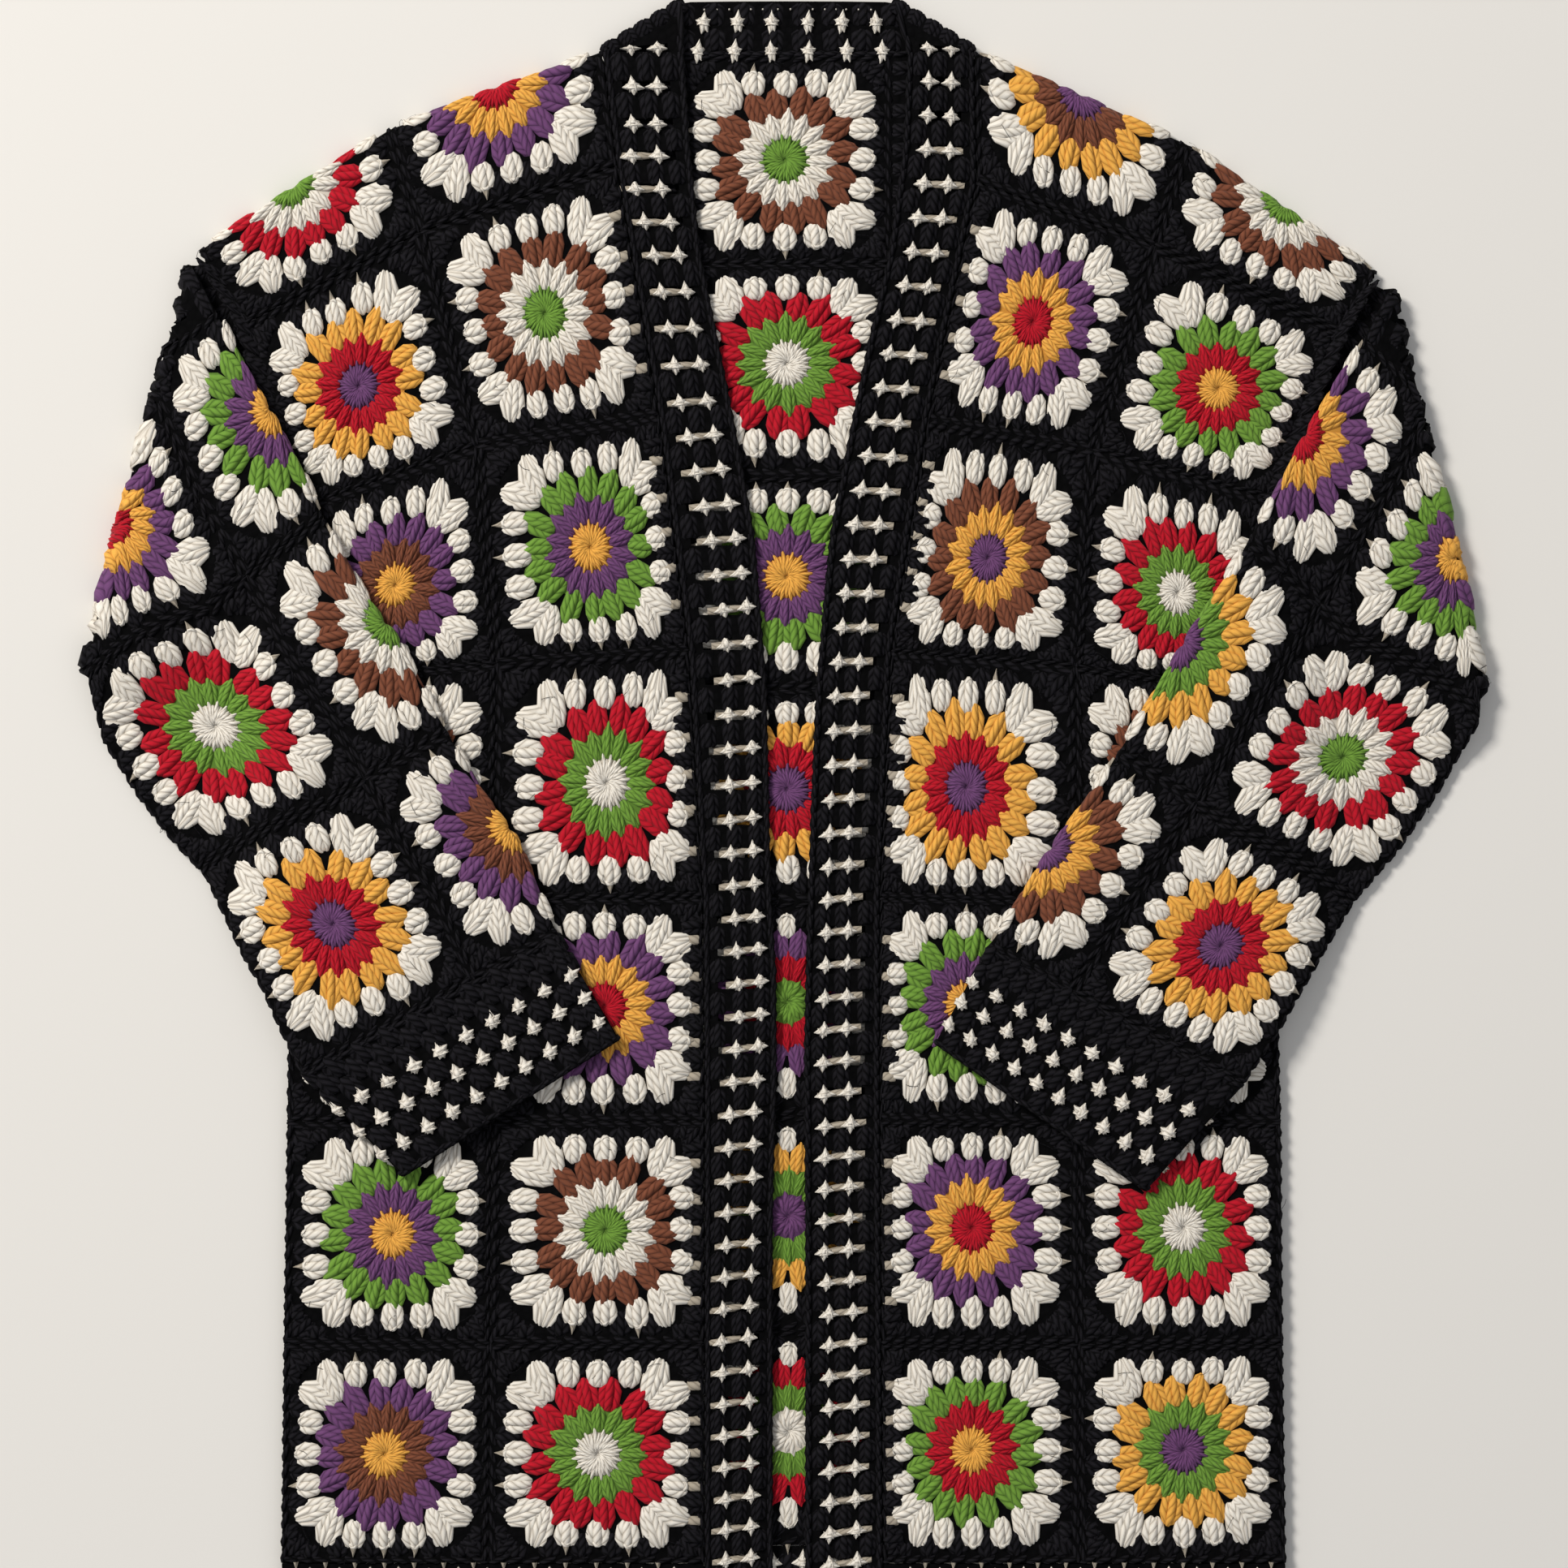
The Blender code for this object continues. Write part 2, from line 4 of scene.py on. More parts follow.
import bmesh
import bpy
import numpy as np
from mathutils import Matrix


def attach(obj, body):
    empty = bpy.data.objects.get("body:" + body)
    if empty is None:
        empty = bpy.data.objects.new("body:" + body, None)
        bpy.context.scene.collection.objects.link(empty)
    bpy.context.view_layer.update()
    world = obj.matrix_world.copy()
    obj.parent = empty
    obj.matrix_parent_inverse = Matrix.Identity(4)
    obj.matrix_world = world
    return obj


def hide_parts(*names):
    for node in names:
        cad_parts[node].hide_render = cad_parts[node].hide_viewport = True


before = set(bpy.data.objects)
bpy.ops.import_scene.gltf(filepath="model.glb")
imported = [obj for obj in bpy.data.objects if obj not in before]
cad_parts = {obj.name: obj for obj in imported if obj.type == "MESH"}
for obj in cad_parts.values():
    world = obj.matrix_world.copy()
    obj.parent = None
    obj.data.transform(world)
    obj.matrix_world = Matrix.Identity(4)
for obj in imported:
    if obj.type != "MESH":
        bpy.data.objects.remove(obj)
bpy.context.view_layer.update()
mm = 0.001

# Yarn colours: shaded and lit tone of each yarn, linear
yarns = {
    "black": ((0.0002, 0.0002, 0.0003), (0.0150, 0.0138, 0.0172)),
    "cream": ((0.25, 0.195, 0.13), (0.87, 0.82, 0.73)),
    "red": ((0.10, 0.0008, 0.0035), (0.52, 0.006, 0.020)),
    "green": ((0.028, 0.068, 0.006), (0.17, 0.33, 0.045)),
    "yellow": ((0.30, 0.105, 0.008), (0.86, 0.44, 0.080)),
    "purple": ((0.026, 0.008, 0.030), (0.165, 0.062, 0.175)),
    "brown": ((0.036, 0.009, 0.004), (0.21, 0.068, 0.034)),
    # Cream yarn in painted shade, for cream lying low between stitches
    "shadow": ((0.15, 0.122, 0.09), (0.43, 0.375, 0.295)),
}
yarnNames = list(yarns)
yarnLook = {
    "pliesPerTile": 4.4,
    "pliesAcross": 2.1,
    "bumpMm": 0.5,
    "blackGlintPower": 3.3,
    "fuzz": 0.12,
    "roughness": 0.86,
    "tileLengthMm": 20.0,
    "tilesAcross": 4,
    "tileMargin": 0.06,
}

# Heights of the layers above the table, mm
layers = {
    "wall": 3.4,  # one layer with its stitches
    "shell": 2.5,  # the cloth alone
    "frontFloor": 4.8,  # where the fronts lie, and at the side edges
    "sideFloor": 3.7,
    "tube": 6.3,  # a sleeve pressed flat, and how much its cloth stays inside that
    "tubeTrim": 0.9,
    "foldAxis": 6.45,
    "overBody": 10.0,  # what holds a sleeve up
    "overSleeve": 6.6,
    "creaseLift": 1.2,
    "underside": 0.9,  # cloth above the table, and the share of their height its stitches keep
    "undersideHeight": 0.22,
}

# Half of a square's width and the whole of it
halfSquare = 59.0
squareMm = 2 * halfSquare

# Corners of the squares, from the side edge to the front band, yoke line to hem, mm
leftNodes = [
    [(-324.9, 313.7), (-218.7, 381.2), (-100.8, 424.4)],
    [(-298.8, 272.2), (-201.6, 323.1), (-92.7, 360.0)],
    [(-266.4, 171.0), (-170.1, 204.8), (-69.3, 221.8)],
    [(-262.4, 75.2), (-159.3, 84.2), (-53.1, 92.2)],
    [(-273.6, -47.2), (-161.1, -46.4), (-45.0, -45.5)],
    [(-275.4, -169.7), (-162.0, -169.7), (-44.1, -168.8)],
    [(-277.2, -292.5), (-162.9, -292.5), (-44.1, -292.5)],
    [(-278.6, -414.0), (-163.8, -414.0), (-44.1, -414.0)],
    [(-277.7, -451.8), (-163.8, -452.0), (-44.1, -452.0)],
]
rightNodes = [
    [(328.9, 301.5), (223.2, 373.1), (105.3, 424.4)],
    [(307.8, 267.8), (205.2, 315.9), (106.7, 351.0)],
    [(268.2, 175.5), (171.0, 202.1), (79.7, 219.2)],
    [(260.6, 69.8), (161.1, 82.4), (59.4, 90.9)],
    [(271.8, -47.2), (162.9, -47.2), (53.1, -45.5)],
    [(275.4, -169.7), (162.9, -169.7), (53.1, -168.8)],
    [(276.3, -292.5), (162.9, -292.5), (54.0, -292.5)],
    [(278.1, -414.0), (163.8, -414.0), (54.9, -414.0)],
    [(278.6, -451.8), (163.8, -452.0), (54.9, -452.0)],
]
backNodes = [
    [(-100.1, 420.6), (-99.1, 421.6), (-98.1, 422.6), (101.7, 422.6), (102.7, 421.6), (103.7, 420.6)],
    [(-298.8, 272.2), (-182.7, 301.5), (-59.0, 306.0), (60.3, 306.0), (188.6, 301.5), (307.8, 267.8)],
    [(-266.4, 171.0), (-165.6, 186.8), (-59.0, 187.7), (60.3, 187.7), (170.6, 186.8), (268.2, 175.5)],
    [(-262.4, 75.2), (-164.7, 72.0), (-59.0, 69.8), (60.3, 69.8), (166.1, 72.0), (260.6, 69.8)],
    [(-273.6, -47.2), (-165.6, -47.2), (-59.0, -48.1), (60.3, -48.1), (166.5, -47.2), (271.8, -47.2)],
    [(-275.4, -169.7), (-166.5, -167.8), (-58.1, -166.5), (60.3, -166.5), (166.5, -167.8), (275.4, -169.7)],
    [(-277.2, -292.5), (-167.4, -288.4), (-57.6, -285.8), (61.2, -285.8), (167.4, -288.4), (276.3, -292.5)],
    [(-278.6, -414.0), (-168.3, -408.2), (-57.6, -405.0), (61.6, -405.0), (168.3, -408.2), (278.1, -414.0)],
    [(-277.7, -451.8), (-168.3, -452.0), (-57.6, -452.0), (61.6, -452.0), (168.3, -452.0), (278.6, -451.8)],
]
leftOpening = [
    (-55.8, 451.6), (-55.4, 424.4), (-52.2, 371.7), (-46.4, 311.9), (-36.0, 261.4), (-26.1, 211.1),
    (-16.2, 154.8), (-9.5, 69.8), (-7.2, -42.8), (-4.3, -85.0), (-4.0, -140.0), (-6.2, -222.8),
    (-6.2, -452.2),
]
rightOpening = [
    (60.3, 451.6), (68.4, 422.1), (66.2, 371.7), (58.1, 311.9), (46.4, 261.4), (36.0, 211.1),
    (25.2, 154.8), (17.6, 69.8), (14.8, 2.2), (12.2, -80.0), (11.0, -132.8), (11.7, -222.8), (11.7, -452.2),
]
neckTop = [
    (-96.3, 427.0), (-74.7, 438.0), (-55.8, 451.6), (-29.7, 452.0), (0.0, 452.1),
    (33.3, 452.0), (60.3, 451.6), (80.6, 438.0), (100.8, 426.0),
]
neckLow = 423.2

leftSleeve = {
    "inner": [
        (-326.7, 305.6), (-306.0, 265.5), (-294.3, 241.2), (-278.1, 213.3), (-264.2, 186.8), (-247.1, 150.8),
        (-226.8, 114.8), (-212.8, 96.8), (-190.8, 56.7), (-164.7, 10.3), (-148.5, -11.7), (-124.2, -65.2),
    ],
    "outer": [
        (-385.2, 77.2), (-377.6, 40.5), (-358.7, 10.3), (-338.4, -15.8), (-321.3, -33.8), (-309.2, -59.0),
        (-299.2, -79.2), (-288.9, -95.4), (-277.2, -121.5), (-265.9, -142.7),
    ],
    "armhole": [(0.0, -322.2, 306.9), (0.283, -300.6, 270.9), (1.0, -268.0, 169.7)],
    "cuff": [(-90.0, -123.3), (-210.6, -199.8)],
    # Share of the sleeve's length at which a row line stands: on the inner fold, half way, on the outer fold
    "rowOne": (0.375, 0.265, 0.0),
    "rowTwo": (0.70, 0.635, 0.495),
    "side": -1.0,
    # Rows from the armhole, columns round the sleeve: on the fold, in front, behind
    "colours": [
        [("yellow", "purple", "green"), ("red", "yellow", "purple"), ("green", "cream", "red")],
        [("green", "cream", "brown"), ("cream", "green", "red"), ("purple", "red", "yellow")],
        [("yellow", "brown", "purple"), ("purple", "red", "yellow"), ("cream", "green", "brown")],
    ],
}
rightSleeve = {
    "inner": [
        (333.9, 292.4), (317.7, 259.2), (296.6, 225.5), (282.2, 199.3), (270.0, 176.8), (248.0, 139.1),
        (221.8, 96.8), (197.6, 56.7), (171.5, 16.2), (143.6, -23.9), (112.0, -72.0),
    ],
    "outer": [
        (385.2, 67.0), (384.2, 50.4), (364.5, 14.4), (342.4, -18.0), (316.4, -48.1), (300.6, -73.4),
        (286.2, -97.2), (274.5, -117.5), (253.8, -148.5),
    ],
    "armhole": [(0.0, 326.9, 293.8), (0.283, 309.9, 266.8), (1.0, 270.0, 174.2)],
    "cuff": [(82.4, -125.5), (199.8, -207.9)],
    "rowOne": (0.375, 0.285, 0.05),
    "rowTwo": (0.70, 0.645, 0.535),
    "side": 1.0,
    "colours": [
        [("red", "yellow", "purple"), ("yellow", "purple", "green"), ("cream", "red", "green")],
        [("purple", "green", "yellow"), ("green", "cream", "red"), ("yellow", "brown", "purple")],
        [("purple", "yellow", "brown"), ("purple", "red", "yellow"), ("green", "cream", "brown")],
    ],
}

# Yarns of each square: centre, second round, third round; rows from the yoke down, columns from the side in
leftColours = [
    [("green", "cream", "red"), ("red", "yellow", "purple")],
    [("purple", "red", "yellow"), ("green", "cream", "brown")],
    [("yellow", "brown", "purple"), ("yellow", "purple", "green")],
    [("yellow", "red", "brown"), ("cream", "green", "red")],
    [("green", "purple", "cream"), ("red", "yellow", "purple")],
    [("yellow", "purple", "green"), ("green", "cream", "brown")],
    [("yellow", "brown", "purple"), ("cream", "green", "red")],
]
rightColours = [
    [("green", "cream", "brown"), ("purple", "brown", "yellow")],
    [("yellow", "red", "green"), ("red", "yellow", "purple")],
    [("cream", "green", "red"), ("purple", "yellow", "brown")],
    [("yellow", "purple", "brown"), ("purple", "red", "yellow")],
    [("red", "cream", "purple"), ("yellow", "purple", "green")],
    [("cream", "green", "red"), ("red", "yellow", "purple")],
    [("purple", "green", "yellow"), ("yellow", "red", "green")],
]
backMiddle = [
    ("green", "cream", "brown"), ("cream", "green", "red"), ("yellow", "purple", "green"),
    ("purple", "red", "yellow"), ("green", "red", "purple"), ("purple", "green", "yellow"),
    ("cream", "green", "red"),
]

# Where the middles of the fronts' squares lie, rows from the yoke line down
leftMiddles = [
    [(-235.4, 237.6), (-132.3, 277.7)],
    [(-215.1, 127.4), (-107.1, 148.5)],
    [(-215.1, 18.0), (-98.1, 18.0)],
    [(-218.7, -108.0), (-99.5, -105.8)],
    [(-216.5, -231.8), (-98.6, -229.5)],
    [(-221.0, -353.3), (-103.1, -353.3)],
]
rightMiddles = [
    [(240.3, 236.3), (137.7, 273.2)],
    [(217.8, 122.4), (113.0, 142.7)],
    [(213.3, 18.0), (100.8, 15.8)],
    [(218.7, -105.8), (100.8, -104.9)],
    [(221.0, -228.2), (104.0, -228.2)],
    [(221.0, -351.0), (104.0, -351.0)],
]


def smooth(share):
    share = np.clip(share, 0.0, 1.0)
    return share * share * (3.0 - 2.0 * share)


def surface(place):
    # Lets a surface be asked with single numbers too: row, column, height in mm above the shell
    def asked(*values, **more):
        return place(*(np.atleast_1d(np.asarray(value, float)) for value in values), **more)
    return asked


def alongCurve(points, share):
    # Point on a run of short straight steps, by its share of the length
    points = np.asarray(points, float)
    runs = np.linalg.norm(np.diff(points, axis=0), axis=1)
    marks = np.concatenate(([0.0], np.cumsum(runs))) / runs.sum()
    return np.stack([np.interp(share, marks, points[:, k]) for k in range(2)], -1)


def curveLength(points):
    return float(np.linalg.norm(np.diff(np.asarray(points, float), axis=0), axis=1).sum())


def xAt(points, y):
    points = np.asarray(points, float)[::-1]
    return np.interp(y, points[:, 1], points[:, 0])


def nodePoint(nodes, row, column):
    # Plan point of a panel from its square corners
    nodes = np.asarray(nodes, float)
    i = np.clip(np.floor(row).astype(int), 0, len(nodes) - 2)
    j = np.clip(np.floor(column).astype(int), 0, len(nodes[0]) - 2)
    v = (row - i)[:, None]
    u = (column - j)[:, None]
    upper = nodes[i, j] * (1 - u) + nodes[i, j + 1] * u
    lower = nodes[i + 1, j] * (1 - u) + nodes[i + 1, j + 1] * u
    return upper * (1 - v) + lower * v


# Soft rises and troughs laid over the flat cloth: centre x and y, direction, half length,
# half width, height
softFolds = [
    (-160, 120, 70, 130, 26, 0.9), (-90, -60, 95, 150, 22, 0.7), (-200, -250, 15, 120, 24, 0.6),
    (-110, -350, 80, 110, 20, 0.8), (150, 140, 110, 140, 25, 0.9), (90, -90, 85, 150, 22, 0.7),
    (205, -260, 160, 120, 26, 0.7), (120, -370, 100, 100, 20, 0.8), (-230, -380, 100, 90, 22, 0.6),
    (230, -150, 75, 110, 20, 0.6), (-300, 60, 60, 110, 20, 1.0), (300, 50, 120, 110, 20, 1.0),
    (-215, -20, 62, 120, 14, 0.8), (215, -30, 118, 120, 14, 0.8), (-60, 250, 95, 90, 14, 0.5),
    (70, 250, 85, 90, 14, 0.5),
]


def softRise(xy):
    x, y = xy[:, 0], xy[:, 1]
    rise = np.zeros_like(x)
    for cx, cy, degrees, longHalf, wideHalf, height in softFolds:
        turn = math.radians(degrees)
        a = (x - cx) * math.cos(turn) + (y - cy) * math.sin(turn)
        b = -(x - cx) * math.sin(turn) + (y - cy) * math.cos(turn)
        rise += height * np.exp(-(a / longHalf) ** 2 - (b / wideHalf) ** 2)
    return rise


def stack(xy, z):
    return np.concatenate([xy, z[:, None]], 1)


def beneath(place):
    # The same plan on the underside, pressed flat by the table
    @surface
    def under(row, column, height):
        points = place(row, column, height)
        points[:, 2] = layers["underside"] - layers["undersideHeight"] * height
        return points
    return under


def frontFloor(across):
    return layers["sideFloor"] + (layers["frontFloor"] - layers["sideFloor"]) * smooth(4.0 * across)


def frontSurface(nodes):
    # Row 0 is the yoke line, column 0 the side edge
    @surface
    def place(row, column, height):
        xy = nodePoint(nodes[1:], row, column)
        return stack(xy, frontFloor(column / 2.0) + layers["shell"] + softRise(xy) + height)
    return place


@surface
def backSurface(row, column, height):
    return stack(nodePoint(backNodes, row, column), layers["shell"] + height)


def yokeSurface(nodes, backLine):
    # Row 1 is the front line, 0 the top of the fold, -1 the back line
    @surface
    def place(row, column, height):
        fold, front, back = (nodePoint([line, line], row * 0.0, column)
                             for line in (nodes[0], nodes[1], backLine))
        radius = (frontFloor(column / 2.0) + layers["wall"]) / 2.0
        inward = front - fold
        inward /= np.linalg.norm(inward, axis=1)[:, None]
        centre = fold + inward * radius[:, None]
        far = np.where((row >= 0)[:, None], front, back)
        straight = np.linalg.norm(far - centre, axis=1)
        quarter = radius * math.pi / 2.0
        run = np.abs(row) * (straight + quarter)
        turn = np.clip(run / radius, 0.0, math.pi / 2.0)
        share = np.clip((run - quarter) / straight, 0.0, None)
        up = np.where(row >= 0, 1.0, -1.0)
        rest = layers["undersideHeight"]
        fade = np.where(row >= 0, 1.0, np.maximum(0.0, 1.0 - turn / (math.pi / 2.0)) * (1.0 - rest) + rest)
        reach = radius - (layers["wall"] - layers["shell"]) + height * fade
        xy = centre - inward * (reach * np.cos(turn))[:, None] + (far - centre) * share[:, None]
        z = radius + up * reach * np.sin(turn)
        z = z + np.where(row > 0, softRise(xy) * smooth(share * 2.0), 0.0)
        return stack(xy, z)
    return place


def tubeSection(column, width):
    # Where a point round a flattened tube lies: mm across, how far up and how far aside it faces
    radius = layers["tube"] / 2.0
    half = width - 2.0 * radius + math.pi * radius
    turnShare = np.mod(column - 0.5, 3.0) / 1.5
    top = turnShare < 1.0
    run = np.where(top, turnShare, 2.0 - turnShare) * half
    arc = math.pi * radius / 2.0
    near = np.clip(run / radius, 0.0, math.pi / 2.0)
    far = np.clip((half - run) / radius, 0.0, math.pi / 2.0)
    bend = np.minimum(near, far)
    middle = np.clip(run - arc, 0.0, width - 2.0 * radius) + radius
    up = np.where(top, 1.0, -1.0) * np.sin(bend)
    aside = np.where(near < far, -1.0, 1.0) * np.cos(bend)
    return middle, up, aside


def tubeReach(height, facing):
    # How far stitches stand out of a tube: less the more they face the table
    rest = layers["undersideHeight"]
    return (layers["tube"] / 2.0 - layers["tubeTrim"]
            + height * (rest + (1.0 - rest) * smooth((facing + 1.0) / 0.8)))


# Where a sleeve slopes down from what it lies on: start and length of the slope, mm, off the body and
# off the part of it folded under; then over how many mm it rises beside its crease, after the fold, and
# to its soft folds
slopes = {"body": (4.0, 46.0), "under": (6.0, 36.0), "crease": 25.0, "fold": 14.0, "soft": 20.0}


def bodyLift(xy, nodes, sleeve):
    # How far the sleeve is held up by what lies under it
    x, y = xy[:, 0], xy[:, 1]
    side = sleeve["side"]
    edge = [row[0] for row in nodes]
    outside = (x - xAt(edge, y)) * side
    overBody = layers["overBody"] * smooth(1.0 - (outside - slopes["body"][0]) / slopes["body"][1])
    start = np.array(sleeve["outer"][0])
    end = np.array(sleeve["armhole"][-1][1:])
    length = np.linalg.norm(end - start)
    below = ((end[0] - start[0]) * (start[1] - y) + (end[1] - start[1]) * (x - start[0])) / length * -side
    crease = np.array(sleeve["inner"][0])
    run = np.linalg.norm(crease - start)
    away = np.abs((crease[0] - start[0]) * (y - start[1]) - (crease[1] - start[1]) * (x - start[0])) / run
    held = layers["overSleeve"] + layers["creaseLift"] * smooth(away / slopes["crease"])
    overSleeve = held * smooth(1.0 - (below - slopes["under"][0]) / slopes["under"][1])
    return np.maximum(overBody, overSleeve)


# Width laid flat, one row of squares along it, and where across it the row lines turn
sleeveForm = {"widthMm": 160.0, "squareMm": 128.0, "turnAt": 0.48}


def sleeveSurface(nodes, sleeve):
    # Row 0 to 3 from the armhole to the cuff seam, column 0 to 3 round the sleeve, 0.5 on the inner fold
    creaseInner = np.array(sleeve["inner"][0])
    creaseOuter = np.array(sleeve["outer"][0])
    creaseRun = np.linalg.norm(creaseOuter - creaseInner)
    crease = (creaseOuter - creaseInner) / creaseRun
    outward = np.array([crease[1] * -sleeve["side"], crease[0] * sleeve["side"]])
    width = sleeveForm["widthMm"]
    holeMarks = np.array(sleeve["armhole"])
    innerLength = curveLength(sleeve["inner"])
    outerLength = curveLength(sleeve["outer"])
    arcLength = math.pi * (layers["foldAxis"] - layers["tube"] / 2.0)

    @surface
    def place(row, column, height, whole=False, lengthOnly=False):
        middle, up, aside = tubeSection(column, width)
        across = np.clip(middle / width, 0.0, 1.0)
        turns = (0.0, sleeveForm["turnAt"], 1.0)
        rowOne, rowTwo = (np.interp(across, turns, sleeve[key]) for key in ("rowOne", "rowTwo"))
        lengths = innerLength * (1.0 - across) + outerLength * across
        axis = creaseInner + (creaseOuter - creaseInner) * across[:, None]
        hole = np.stack([np.interp(across, holeMarks[:, 0], holeMarks[:, k]) for k in (1, 2)], -1)
        under = np.linalg.norm(hole - axis, axis=1)
        total = under + arcLength + rowOne * lengths
        if lengthOnly:
            return total
        run = np.maximum(total * row if whole else total - sleeveForm["squareMm"] * (1.0 - row), 0.0)
        early = row < 1.0
        share = np.where(early, (run - under - arcLength) / lengths, 0.0)
        share = np.where((row >= 1.0) & (row < 2.0), rowOne + (row - 1.0) * (rowTwo - rowOne), share)
        share = np.where(row >= 2.0, rowTwo + (row - 2.0) * (1.0 - rowTwo), share)
        below = early & (run < under)
        bending = early & (run >= under) & (run < under + arcLength)
        # World direction of the section decides how proud the stitches stand
        facing = np.where(below, -up, up)
        turn = np.clip((run - under) / arcLength, 0.0, 1.0) * math.pi
        facing = np.where(bending, -up * np.cos(turn), facing)
        reach = tubeReach(height, facing)
        acrossNow = (middle + aside * reach) / width
        sectionZ = layers["tube"] / 2.0 + up * reach
        axisNow = creaseInner + (creaseOuter - creaseInner) * acrossNow[:, None]
        # Under the fold
        backShare = np.clip(1.0 - run / np.maximum(under, 1.0), 0.0, 1.0)
        xyUnder = axisNow + (hole - axis) * backShare[:, None]
        zUnder = layers["tube"] - sectionZ
        # Round the fold
        ring = layers["foldAxis"] - layers["tube"] + sectionZ
        xyBend = axisNow + outward * (ring * np.sin(turn))[:, None]
        zBend = layers["foldAxis"] - ring * np.cos(turn)
        # Over the body
        shareNow = np.clip(share, 0.0, 1.0)
        one = alongCurve(sleeve["inner"], shareNow)
        two = alongCurve(sleeve["outer"], shareNow)
        xyOver = one + (two - one) * acrossNow[:, None]
        past = shareNow * lengths
        lift = bodyLift(xyOver, nodes, sleeve)
        start = layers["foldAxis"] * 2.0 - layers["tube"]
        lift = start + (lift - start) * smooth(past / slopes["fold"])
        rise = softRise(xyOver) * smooth(lift / 4.0 - 0.5) * smooth(past / slopes["soft"])
        zOver = lift + rise + sectionZ
        xy = np.where(below[:, None], xyUnder, np.where(bending[:, None], xyBend, xyOver))
        z = np.where(below, zUnder, np.where(bending, zBend, zOver))
        return stack(xy, z)
    return place


# Width laid flat and length of a cuff
cuffForm = {"widthMm": 150.0, "lengthMm": 72.0}


def cuffSurface(nodes, sleeve):
    # Row 0 to 1 from the sleeve seam to the open end, column 0 to 2 round the cuff
    startInner, startOuter = (np.array(sleeve[key][-1]) for key in ("inner", "outer"))
    endInner, endOuter = (np.array(point) for point in sleeve["cuff"])
    width = cuffForm["widthMm"]

    @surface
    def place(row, column, height):
        middle, up, aside = tubeSection(column * 1.5 + 0.5, width)
        reach = tubeReach(height, up)
        across = ((middle + aside * reach) / width)[:, None]
        one = startInner + (endInner - startInner) * row[:, None]
        two = startOuter + (endOuter - startOuter) * row[:, None]
        xy = one + (two - one) * across
        z = bodyLift(xy, nodes, sleeve) + softRise(xy) + layers["tube"] / 2.0 + up * reach
        return stack(xy, z)
    return place


# Top and lower end of the bands in the frame, height of a row of gaps, share that stays beside a gap, width,
# slant of the upper rows, fall of the floor at the neck, and the first row of gaps with a strip of cream in
# painted shade
bandForm = {"topY": 438.0, "endY": -451.9, "gap": 5.6, "margin": 0.2, "widthMm": 41.0, "slant": 14.0,
            "fall": 1.1, "firstTie": 3}


def bandFloor(row):
    return layers["frontFloor"] - bandForm["fall"] * (1.0 - smooth(row / 20.0))


def bandSurface(nodes, opening):
    # Row is mm below the neck end, column 0 at the squares and 1 at the opening
    edge = [row[2] for row in nodes]
    top = bandForm["topY"]

    @surface
    def place(row, column, height, slanted=True):
        slant = bandForm["slant"] * (1.0 - smooth(row / 9.0)) * slanted
        yEdge = np.minimum(top - row - slant, edge[0][1])
        yOpen = np.minimum(top - row + slant, opening[0][1])
        one = np.stack([xAt(edge, yEdge), yEdge], -1)
        two = np.stack([xAt(opening, yOpen), yOpen], -1)
        xy = one + (two - one) * column[:, None]
        return stack(xy, bandFloor(row) + layers["shell"] + softRise(xy) + height)
    return place


@surface
def neckSurface(row, column, height):
    # Row 0 at the top edge and 1 at the squares, column 0 to 1 from left to right
    marks = np.array(neckTop)
    x = marks[0, 0] + (marks[-1, 0] - marks[0, 0]) * column
    top = np.interp(x, marks[:, 0], marks[:, 1])
    y = top + (neckLow - top) * row
    return np.stack([x, y, layers["shell"] + height], -1)


# Where the rings of a piece of yarn stand along it
ringShares = (0.0, 0.09, 0.32, 0.62, 0.88, 1.0)
# One piece of yarn lies as a low arch: points across it and its rings
arches = {
    "fine": {"across": 5, "rings": ringShares},
    "dark": {"across": 4, "rings": (0.0, 0.2, 0.75, 1.0)},
    "plain": {"across": 3, "rings": (0.0, 0.25, 0.72, 1.0)},
}


